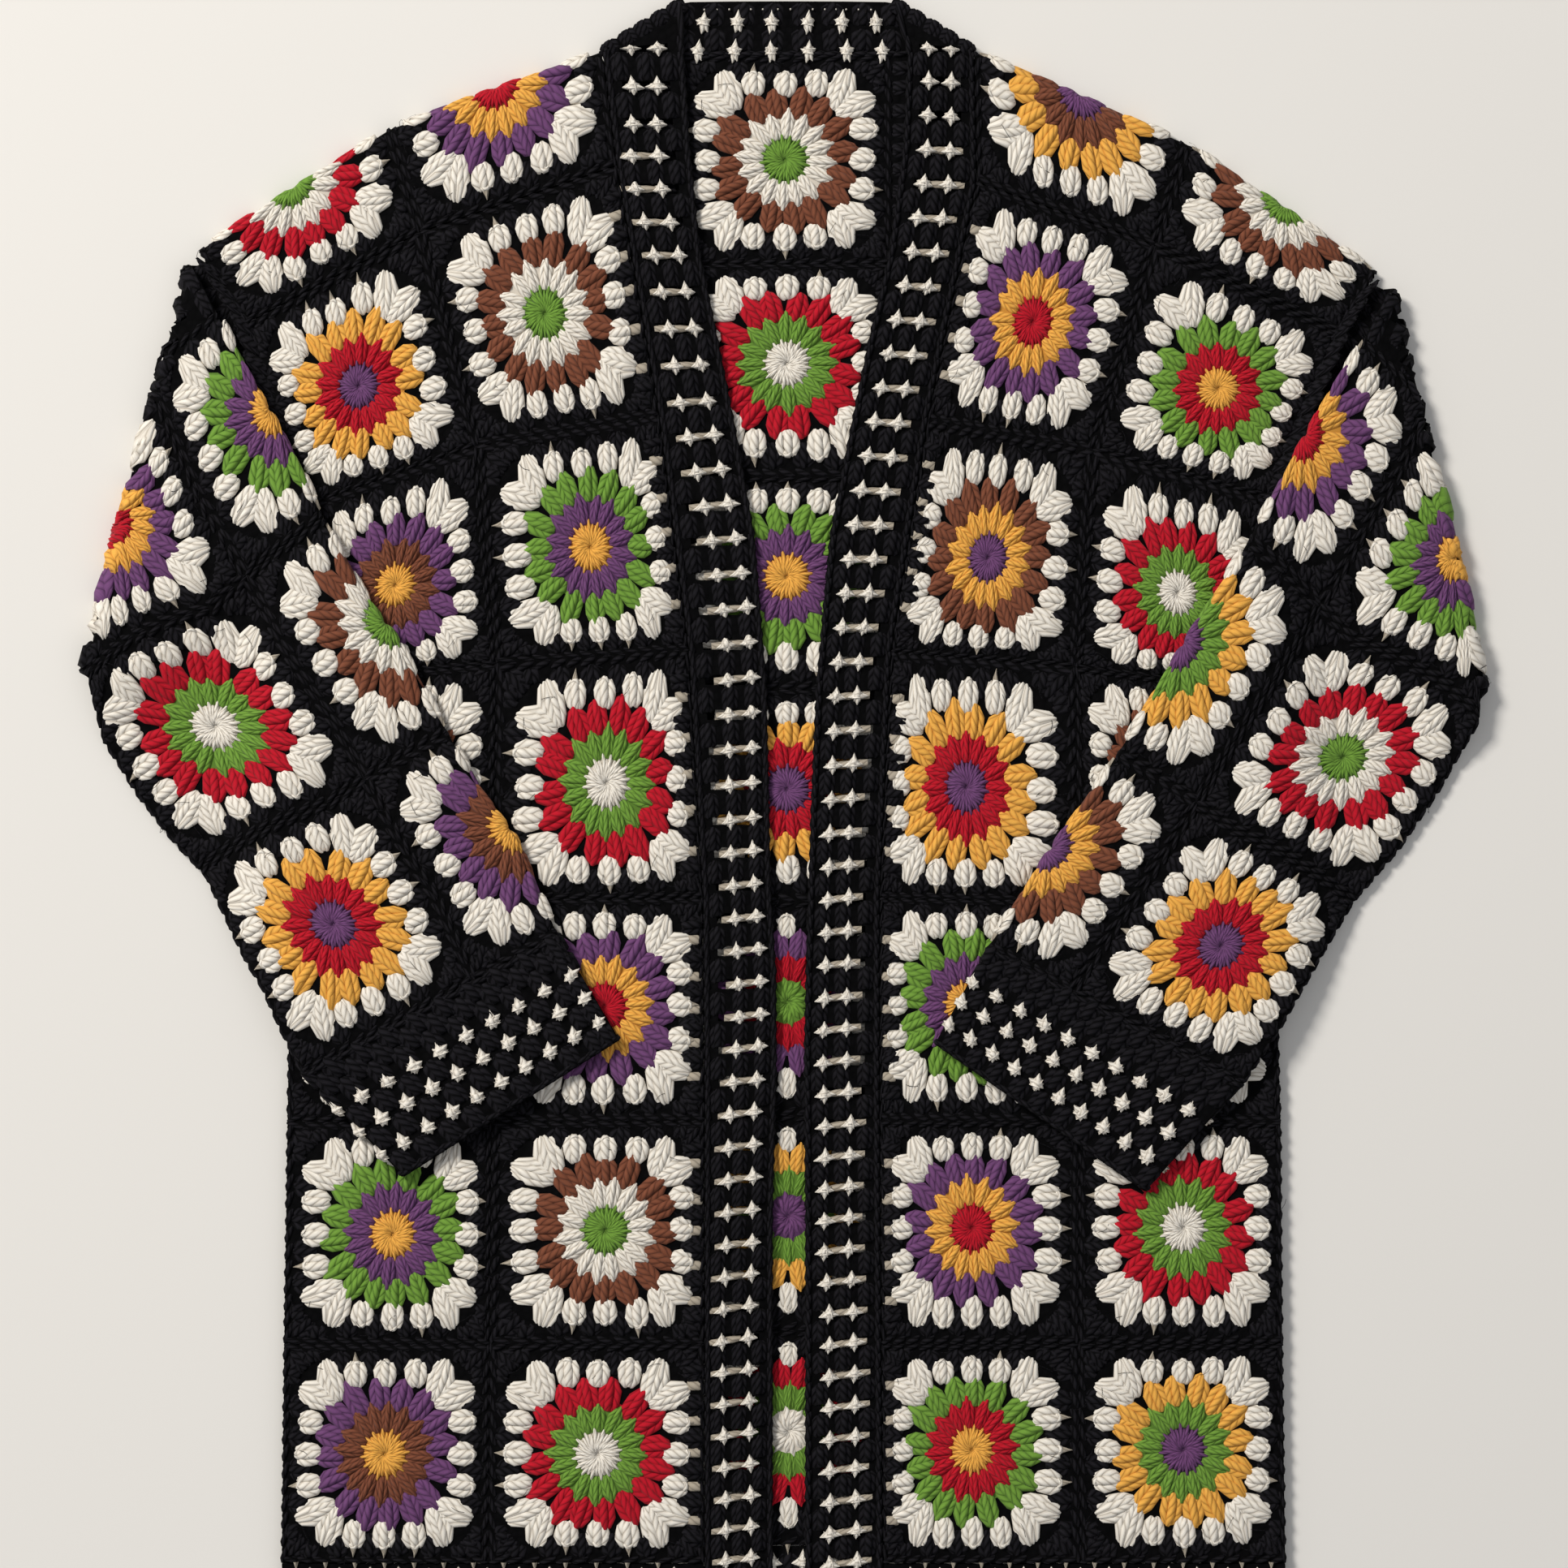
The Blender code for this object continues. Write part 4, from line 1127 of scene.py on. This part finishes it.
def makeChain(length, seed, stitch=8.0, width=2.0, height=2.0):
    # A run of slanted edge stitches along x
    heap = YarnHeap(seed)
    rnd = heap.random
    off = heap.off
    count = max(1, round(length / stitch))
    for k in range(count):
        x = -length / 2 + (k + 0.5) * length / count
        path = [(x - stitch * 0.62, -0.9), (x, 0.5 + off(0.2)), (x + stitch * 0.62, 0.9)]
        heap.strand(path, width, height * rnd.uniform(0.9, 1.1), "black")
    return heap.done()


# Camera and light: the frame is this many mm wide on a plane a little above the table
cameraLook = {"lens": 85.0, "sensor": 36.0, "centre": (0.0, 17.5), "frameMm": 869.4, "planeMm": 4.0}


def makeCamera():
    look = cameraLook
    data = bpy.data.cameras.new("camera_above")
    data.lens = look["lens"]
    data.sensor_width = look["sensor"]
    data.sensor_fit = "HORIZONTAL"
    thing = newObject("camera_above", data)
    distance = look["frameMm"] * look["lens"] / look["sensor"]
    thing.location = (look["centre"][0] * mm, look["centre"][1] * mm, (distance + look["planeMm"]) * mm)
    bpy.context.scene.camera = thing


lightLook = {
    "window": {"place": (-3.0, 2.8, 3.4), "size": 1.3, "power": 285.0, "colour": (1.0, 0.97, 0.925)},
    "fill": {"place": (1.8, -1.2, 2.6), "size": 2.6, "power": 9.0, "colour": (0.93, 0.96, 1.0)},
    "sky": {"colour": (0.93, 0.95, 1.0, 1.0), "power": 0.36},
    "table": {"colour": (0.76, 0.735, 0.69), "half": 6.0, "below": 0.0002},
}


def makeLight():
    for name in ("window", "fill"):
        look = lightLook[name]
        data = bpy.data.lights.new("light_" + name, "AREA")
        data.energy = look["power"]
        data.size = look["size"]
        data.color = look["colour"]
        thing = newObject("light_" + name, data)
        thing.location = look["place"]
        x, y, z = look["place"]
        thing.rotation_euler = (math.atan2(math.hypot(x, y), z), 0.0, math.atan2(x, -y))
    world = bpy.data.worlds.new("studio")
    world.use_nodes = True
    sky = world.node_tree.nodes["Background"]
    sky.inputs[0].default_value = lightLook["sky"]["colour"]
    sky.inputs[1].default_value = lightLook["sky"]["power"]
    bpy.context.scene.world = world
    bpy.context.scene.view_settings.view_transform = "Standard"


def makeTable():
    look = lightLook["table"]
    mesh = bpy.data.meshes.new("table")
    half = look["half"]
    mesh.from_pydata([(-half, -half, 0), (half, -half, 0), (half, half, 0), (-half, half, 0)], [],
                     [(0, 1, 2, 3)])
    material, _, shader = newMaterial("table_plain")
    shader.inputs["Base Color"].default_value = (*look["colour"], 1.0)
    shader.inputs["Roughness"].default_value = 0.95
    mesh.materials.append(material)
    thing = newObject("table", mesh)
    thing.location.z = -look["below"]


print("light, camera and table")
makeCamera()
makeLight()
makeTable()

# What differs between the left and the right half; left and right are the viewer's
sides = {
    "left": {"nodes": leftNodes, "colours": leftColours, "middles": leftMiddles,
             "backLine": backNodes[1][:3], "sleeve": leftSleeve, "opening": leftOpening},
    "right": {"nodes": rightNodes, "colours": rightColours, "middles": rightMiddles,
              "backLine": backNodes[1][:2:-1], "sleeve": rightSleeve, "opening": rightOpening},
}

# Fronts: squares down and across, and how far a square's middle may lie from its cell's, mm
frontLook = {"down": 6, "across": 2, "mostShiftMm": 9.0}


def cellShift(nodes, row, column, middle):
    # How far a square's middle lies from its cell's middle: mm along the columns, mm down the rows
    at, right, down = (nodePoint(nodes, np.array([row + a]), np.array([column + b]))[0]
                       for a, b in ((0.5, 0.5), (0.5, 0.6), (0.6, 0.5)))
    tenth = squareMm / 10.0
    offset = np.linalg.solve(np.stack([(right - at) / tenth, (down - at) / tenth], 1), np.array(middle) - at)
    most = frontLook["mostShiftMm"]
    return tuple(float(np.clip(value, -most, most)) for value in offset)


def makeFront(side):
    look = sides[side]
    nodes = look["nodes"]
    place = frontSurface(nodes)
    down, across = frontLook["down"], frontLook["across"]
    under = drop(place, lambda r, c: frontFloor(c / 2.0))
    name = "front_" + side
    shell = makeShell("cloth_" + name, level(place), under, seamSteps(down), seamSteps(across))
    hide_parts(name)
    piece = Piece("stitches_" + name)
    for row in range(down):
        for column in range(across):
            shift = cellShift(nodes[1:], row, column, look["middles"][row][column])
            piece.square(place, row, column, look["colours"][row + 1][column], shift=shift)
        piece.put(nth(bandSides, row), place, row + 0.5, 1.5, squareMm, squareMm)
    stitches = piece.finish()


# Yokes, folded over the shoulders: how far the cloth reaches along its two rows, and its steps
yokeLook = {"reach": 0.996, "steps": 40}


def makeYoke(side):
    look = sides[side]
    place = yokeSurface(look["nodes"], look["backLine"])
    rows = steps(-yokeLook["reach"], yokeLook["reach"], yokeLook["steps"])
    name = "yoke_" + side
    shell = makeShell("cloth_" + name, level(place), level(place, layers["shell"] * 0.9), rows, seamSteps(2))
    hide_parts(name)
    piece = Piece("stitches_" + name)
    for column in range(2):
        piece.square(place, -1.0, column, look["colours"][0][column], rowSpan=2.0)
    stitches = piece.finish()


for side in sides:
    makeFront(side)
    print("front done:", side)
for side in sides:
    makeYoke(side)
    print("yoke done:", side)


# Back: middle of its top square and how much that square is pressed along the rows, black clusters
# beside it (first lane, from lane to lane, pitch along a lane), shift of the squares in the opening,
# rows of fine stitches, and the colours of the hidden squares
sidePuffs = [makePuffRow(660 + k, 22.0, 11.0, 2) for k in range(4)]
backLook = {
    "topSquareMm": (0.5, 363.6), "topPress": 0.985, "laneMm": (64.5, 11.0), "puffPitchMm": 22.5,
    "shiftMm": (1.0, -3.8), "fineRows": 4,
    "undersideColours": [
        ("cream", "green", "red"), ("red", "yellow", "purple"), ("yellow", "purple", "green"),
        ("green", "cream", "brown"), ("purple", "red", "yellow"), ("yellow", "brown", "purple"),
        ("purple", "green", "yellow"),
    ],
}


@surface
def topSquareSurface(row, column, height):
    # The top square keeps its size although the cloth widens behind the bands
    x, y = backLook["topSquareMm"]
    return stack(np.stack([x + column, y - row], -1), layers["shell"] + height)


def makeBack():
    look = backLook
    under = beneath(backSurface)
    topUnder = beneath(topSquareSurface)
    # Only the middle square stands in the top row
    missing = [(i, j) for i in range(8) for j in range(40) if not 16 <= j < 24]
    shell = makeShell("cloth_back", level(backSurface), level(under), seamSteps(7), seamSteps(5),
                      missing)
    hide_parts("back")
    top = Piece("stitches_back_inside")
    bottom = Piece("stitches_back_outside")
    top.lay(fineSquares[0], topSquareSurface, lambda p, q: -q * look["topPress"], lambda p, q: p,
            backMiddle[0])
    for side in (-1, 1):
        for k in range(5):
            for lane in range(2):
                x = side * (look["laneMm"][0] + look["laneMm"][1] * lane)
                top.lay(nth(sidePuffs, k + lane), topSquareSurface,
                        lambda p, q: (k - 2) * look["puffPitchMm"] + p, lambda p, q: x + q)
    colours = look["undersideColours"]
    for row in range(1, 7):
        top.square(backSurface, row, 2, backMiddle[row], fine=row < look["fineRows"], shift=look["shiftMm"])
        for column in range(5):
            choice = backMiddle[row] if column == 2 else nth(colours, row * 3 + column * 2)
            bottom.square(under, row, column, choice, fine=False)
    bottom.lay(plainSquares[0], topUnder, lambda p, q: -q * look["topPress"], lambda p, q: p, backMiddle[0])
    pieces = [top.finish(), bottom.finish()]


makeBack()
print("back done")

# Sleeves and cuffs: wall of the tubes, extra steps beside the folds, black clusters round the top of a sleeve
# and from one to the next along it, and where those of the armhole seam stand
tubeWallMm = 1.6
sleeveLook = {
    "foldSteps": [0.47, 0.485, 0.515, 0.53, 1.97, 1.985, 2.015, 2.03],
    "clusters": 24, "clusterMm": 15.0, "firstRow": -0.062, "pitch": 0.117,
    "holeClusters": 12, "holeFirstMm": 15.0, "holePitchMm": 11.5,
    "outward": [(0.84, 0.54), (0.92, 0.39), (0.95, 0.3)],
}


def makeSleeve(side):
    look = sleeveLook
    nodes = sides[side]["nodes"]
    sleeve = sides[side]["sleeve"]
    place = sleeveSurface(nodes, sleeve)
    rows = steps(0, 1, 22) + steps(1, 2, 10)[1:] + steps(2, 3 - seamGap, 10)[1:]
    columns = sorted([k + share for k in range(3) for share in steps(0, 1, 12)[:-1]] + look["foldSteps"])
    shell = makeShell("cloth_sleeve_" + side, level(place, whole=True),
                      level(place, tubeWallMm, whole=True), rows, columns, wrapped=True)
    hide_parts("sleeve_" + side)
    piece = Piece("stitches_sleeve_" + side)
    for row in range(3):
        for column in range(3):
            piece.square(place, row, column, sleeve["colours"][row][column])
    # Black clusters from the first row of squares up to the armhole
    length = sleeveForm["squareMm"]
    for k in range(look["clusters"]):
        column = (k + 0.5) / 8.0
        start = 1.0 - float(place(0.0, column, 0.0, lengthOnly=True)[0]) / length
        for step in range(int(-start * length / look["clusterMm"]) + 1):
            row = look["firstRow"] - (step + 0.5 * (k % 2)) * look["pitch"]
            piece.put(nth(borderPuffs, k * 5 + step), place, row, column, length, squareMm)
    # The armhole seam, from the front's edge up to the fold of the sleeve
    edge = np.array([row[0] for row in nodes[:3]], float)
    outward = np.array([(x * sleeve["side"], y) for x, y in look["outward"]])

    @surface
    def alongHole(row, column, height):
        share = row / curveLength(edge)
        xy = alongCurve(edge, share) + alongCurve(outward, share) * column[:, None]
        rise = 4.5 * smooth((column + 1.0) / 7.0)
        fall = 1.5 * smooth(-row / 9.0 + 1.0)
        return stack(xy, layers["sideFloor"] + layers["shell"] + rise - fall + height)

    for k in range(look["holeClusters"]):
        at = look["holeFirstMm"] + k * look["holePitchMm"]
        piece.lay(nth(borderPuffs, k), alongHole, lambda p, q: at + p, lambda p, q: 1.0 + q * 0.95)
    stitches = piece.finish()


# Rows of tufts and of black clusters as shares of the cuff's length, first tuft and pitch round each face,
# how many stand on the face that shows and on the hidden one, and the rows of edge stitches
cuffLook = {
    "tuftRows": (0.35, 0.563, 0.79),
    "puffRows": (0.06, 0.15, 0.245, 0.457, 0.675, 0.895),
    "tuftColumns": {"left": (0.05, 0.105), "right": (0.028, 0.097)},
    "tufts": (10, 9), "puffs": 10, "chainRows": (0.02, 0.975), "chainMm": 160.0,
}


def makeCuff(side):
    look = cuffLook
    place = cuffSurface(sides[side]["nodes"], sides[side]["sleeve"])
    rows = steps(seamGap, 1, 8)
    columns = sorted(steps(0, 2, 40)[:-1] + [0.01, 0.02, 0.98, 0.99, 1.01, 1.02, 1.98, 1.99])
    shell = makeShell("cloth_cuff_" + side, level(place), level(place, tubeWallMm), rows, columns,
                      wrapped=True)
    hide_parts("cuff_" + side)
    piece = Piece("stitches_cuff_" + side)
    length, width = cuffForm["lengthMm"], cuffForm["widthMm"]
    first, pitch = look["tuftColumns"][side]
    for row, middle in enumerate(look["puffRows"]):
        half = 0.5 * (row % 2 if row < 3 else 1)
        for face in range(2):
            for k in range(look["puffs"]):
                column = face + first + (k + half) * pitch
                piece.put(nth(cuffPuffs, row * 7 + k * 3), place, middle, column, length, width)
    for row, at in enumerate(look["tuftRows"]):
        for face in range(2):
            for k in range(look["tufts"][face]):
                piece.put(nth(cuffTufts, row * 5 + k), place, at, face + first + k * pitch, length, width)
    for k in range(8):
        for at in look["chainRows"]:
            piece.put(nth(bandChains, k), place, at, (k + 0.5) / 4.0, length, look["chainMm"])
    stitches = piece.finish()


cuffPuffs = [makePuffRow(300 + k, 15.5, 15.5, 1, 3.0) for k in range(6)]
borderPuffs = [makePuffRow(340 + k, 14.0, 17.0, 1, 1.6) for k in range(6)]
bandChains = [makeChain(40.0, 500 + k) for k in range(4)]
for side in sides:
    makeSleeve(side)
    makeCuff(side)
    print("sleeve and cuff done:", side)


# Front bands
# Middle y of the rows of gaps: number of the row from the neck down, y in mm
bandRows = {
    "band_left": [(0, 425.7), (1, 403.7), (2, 383.0), (3, 365.4), (6, 310.2), (10, 229.1), (16, 113.9),
                  (22, -2.3), (27, -93.2), (31, -164.9), (35, -237.0), (43, -377.1), (46, -428.5)],
    "band_right": [(0, 425.2), (6, 311.7), (10, 236.4), (23, -9.2), (28, -100.2), (32, -170.9), (36, -240.2),
                   (40, -309.6), (46, -413.8), (47, -431.2)],
}
# Where the two tufts of a row stand across the band, from the squares to the opening: y, outer share,
# inner share
bandTufts = {
    "band_left": [(430, 0.35, 0.68), (404, 0.33, 0.64), (383, 0.28, 0.59), (365, 0.21, 0.57),
                  (347, 0.20, 0.56), (325, 0.27, 0.63), (310, 0.33, 0.68), (270, 0.35, 0.69),
                  (228, 0.32, 0.69), (190, 0.40, 0.72), (113, 0.52, 0.82), (-20, 0.44, 0.76),
                  (-111, 0.49, 0.78), (-165, 0.36, 0.70), (-238, 0.32, 0.70), (-290, 0.25, 0.64),
                  (-380, 0.31, 0.68)],
    "band_right": [(430, 0.34, 0.67), (312, 0.36, 0.68), (236, 0.38, 0.70), (-9, 0.46, 0.735),
                   (-50, 0.43, 0.72), (-130, 0.45, 0.75), (-171, 0.39, 0.73), (-240, 0.42, 0.745),
                   (-275, 0.365, 0.685), (-420, 0.33, 0.68)],
}
# How the rows climb towards the viewer's right: number of the row, climb
bandClimb = {
    "band_left": [(0, 0.0), (8, 0.02), (11, 0.13), (46, 0.15)],
    "band_right": [(0, -0.05), (12, -0.08), (22, 0.10), (47, 0.15)],
}


def bandGaps(name):
    marks = np.array(bandRows[name], float)
    middles = np.interp(np.arange(marks[-1, 0] + 1), marks[:, 0], marks[:, 1])
    return [bandForm["topY"] - float(y) - bandForm["gap"] / 2 for y in middles]


def makeTie(seed, start, end):
    # Yarn carried along a row of gaps, under the tufts, in cream with painted shade
    heap = YarnHeap(seed)
    path = [(start, 0.0), ((start + end) / 2, heap.off(0.4)), (end, 0.0)]
    heap.strand(path, 2.2, 1.5, "shadow", heel=0.95, tip=0.6)
    return heap.done()


# Clusters along the slanted top edge: how many, first, pitch, and how far inside the edge, mm; then
# about how long one run of edge stitches is, its own length, and where the runs stand across the band
bandLook = {"topClusters": 5, "firstMm": 5.0, "pitchMm": 10.6, "insideMm": 1.6, "chainEachMm": 40,
            "chainMm": 40.0, "chainColumns": (0.045, 0.955), "puffPitchMm": 18.5}


def makeBand(side):
    look = bandLook
    form = bandForm
    nodes, opening = sides[side]["nodes"], sides[side]["opening"]
    name = "band_" + side
    place = bandSurface(nodes, opening)
    gaps = bandGaps(name)
    end = form["topY"] - form["endY"]
    rows = [0.0]
    for gap in gaps:
        rows += [gap, gap + form["gap"]]
    rows.append(end)
    m = form["margin"]
    columns = [0.006, m * 0.5, m, 0.5, 1 - m, 1 - m * 0.5, 0.994]
    cut = [(2 * k + 1, j) for k in range(len(gaps)) for j in (2, 3)]
    under = drop(place, lambda r, c: bandFloor(r))
    shell = makeShell("cloth_" + name, level(place), under, rows, columns, cut)
    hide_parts(name)
    piece = Piece("stitches_" + name)
    width = form["widthMm"]

    def straight(row, column, height):
        return place(row, column, height, slanted=False)

    toRight = 1.0 if side == "left" else -1.0
    tufts = np.array(bandTufts[name])[::-1]
    climbs = np.array(bandClimb[name])
    for index, gap in enumerate(gaps):
        following = gaps[index + 1] if index + 1 < len(gaps) else end + 2.0
        pitch = following - gap
        at = gap + form["gap"] / 2
        climb = float(np.interp(index, climbs[:, 0], climbs[:, 1])) * toRight
        shares = [float(np.interp(form["topY"] - at, tufts[:, 0], tufts[:, k])) for k in (1, 2)]
        stretch = pitch / look["puffPitchMm"]
        layAcross(piece, nth(bandPuffs, index), straight, at + pitch / 2, 0.5, width, stretch, climb)
        if index >= form["firstTie"]:
            layAcross(piece, nth(bandTies, index), straight, at, shares[0], width, 1.0, climb)
        for k, column in enumerate(shares):
            layAcross(piece, nth(stars, index * 3 + k * 4), straight, at, column, width, 1.0, climb)
    outer = np.array(nodes[0][2], float)
    inner = np.array(opening[0], float)
    along = (inner - outer) / np.linalg.norm(inner - outer)
    away = np.array([-along[1] * toRight, along[0] * toRight])

    @surface
    def alongTop(row, column, height):
        xy = outer + along * row[:, None] + away * column[:, None]
        return stack(xy, layers["sideFloor"] + layers["shell"] + height)

    for k in range(look["topClusters"]):
        at = look["firstMm"] + k * look["pitchMm"]
        piece.lay(nth(borderPuffs, k), alongTop, lambda p, q: at + p,
                  lambda p, q: -look["insideMm"] + q * 0.6)
    count = int(end / look["chainEachMm"])
    for k in range(count):
        for column in look["chainColumns"]:
            piece.lay(nth(bandChains, k), place,
                      lambda p, q: (k + 0.5) * end / count + p * end / count / look["chainMm"],
                      lambda p, q: column + q / width)
    stitches = piece.finish()


bandPuffs = [makePuffRow(400 + k, 37.0, 18.5, 3, 3.6, 0.35) for k in range(6)]
bandTies = [makeTie(450 + k, -8.5 + k * 0.5, 11.5) for k in range(4)]
for side in sides:
    makeBand(side)
    print("band done:", side)


# Neck band: the whole of it in mm, rows of clusters, where its knots stand along x and as a share of
# its depth, runs of edge stitches along the squares, and the small dots of yarn near its top
neckLook = {
    "widthMm": 197.0, "depthMm": 28.0, "leftX": -96.3, "puffs": 12, "chains": 5, "chainRow": 1.03,
    "knotX": ((-44.6, -25.7, -6.8, 13.1, 32.0, 50.9), (-47.7, -27.5, -7.2, 13.5, 34.7, 54.5)),
    "knotRows": (0.42, 0.98),
    "dots": 15, "dotStartMm": -44.0, "dotPitchMm": 6.6, "dotsAt": (0.17, 0.49),
}


def makeNeckBand():
    look = neckLook
    width, depth = look["widthMm"], look["depthMm"]
    under = beneath(neckSurface)
    shell = makeShell("cloth_band_neck", level(neckSurface), level(under), steps(0.01, 0.99, 6),
                      steps(0.0, 1.0, 40))
    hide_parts("band_neck")
    piece = Piece("stitches_band_neck")
    for row in range(2):
        for k in range(look["puffs"]):
            piece.put(nth(neckPuffs, row + k), neckSurface, 0.25 + 0.5 * row, (k + 0.5) / look["puffs"],
                      depth, width)
    for row, xs in enumerate(look["knotX"]):
        for k, x in enumerate(xs):
            column = (x - look["leftX"]) / width
            piece.put(nth(knots, k + row * 3), neckSurface, look["knotRows"][row], column, depth, width)
    for k in range(look["chains"]):
        piece.put(nth(bandChains, k), neckSurface, look["chainRow"], (k + 0.5) / look["chains"], depth, width)
    dots = YarnHeap(690)
    for k in range(look["dots"]):
        x = look["dotStartMm"] + k * look["dotPitchMm"] + dots.off(1.2)
        dots.strand([(x - 0.5, 0.0), (x + 0.5, 0.0)], 0.5, 1.9, "cream", heel=0.8, tip=0.8, base=1.0)
    piece.put(dots.done(), neckSurface, *look["dotsAt"], depth, width)
    stitches = piece.finish()


neckPuffs = [makePuffRow(600 + k, 16.0, 14.0, 1) for k in range(4)]
makeNeckBand()
print("neck band done")

# Hems: depth and the width of one square in mm, clusters to a square, rows of clusters, tufts and flecks
hemLook = {
    "depthMm": 38.0, "squareMm": 114.0, "each": 7, "puffRows": (0.27, 0.47), "starRows": (0.19, 0.66),
    "fleckRow": 0.02,
    "pieces": {"hem_front_left": (leftNodes, 2), "hem_front_right": (rightNodes, 2),
               "hem_back": (backNodes, 5)},
}


def makeHem(name):
    look = hemLook
    nodes, count = look["pieces"][name]
    isBack = name == "hem_back"

    @surface
    def place(row, column, height):
        floor = 0.0 if isBack else frontFloor(column / 2.0)
        return stack(nodePoint(nodes[-2:], row, column), floor + layers["shell"] + height)

    under = beneath(place)
    rows = steps(seamGap * 3, 0.995, 6)
    columns = steps(seamGap, count - seamGap, 8 * count)
    inside = level(under) if isBack else drop(place, lambda r, c: frontFloor(c / 2.0))
    shell = makeShell("cloth_" + name, level(place), inside, rows, columns)
    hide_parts(name)
    piece = Piece("stitches_" + name)
    depth, width, each = look["depthMm"], look["squareMm"], look["each"]
    first, pitch = look["puffRows"]
    for face in [place, under] if isBack else [place]:
        for row in range(2):
            for k in range(each * count):
                column = (k + 0.5 + 0.5 * row) / each
                if column > count - 0.08:
                    continue
                piece.put(nth(hemPuffs, row + k), face, first + pitch * row, column, depth, width)
                piece.put(nth(stars, k + row * 3), face, look["starRows"][row], column + 0.5 / each,
                          depth, width)
                if row == 0:
                    piece.put(hemFlecks, face, look["fleckRow"], column, depth, width)
    stitches = piece.finish()


hemPuffs = [makePuffRow(700 + k, 16.0, 17.0, 1) for k in range(4)]
# A fleck of cream yarn in painted shade along the hem's edge
fleckHeap = YarnHeap(720)
fleckHeap.strand([(0.0, 1.6), (0.0, -0.6), (0.2, -3.4)], 1.7, 2.4, "shadow", taper=True)
hemFlecks = fleckHeap.done()
for name in hemLook["pieces"]:
    makeHem(name)
print("hems done")

pieces = [thing for thing in bpy.data.objects if thing.type == "MESH" and thing.name.startswith("stitches")]
print("stitch triangles:", sum(2 * len(thing.data.polygons) for thing in pieces))
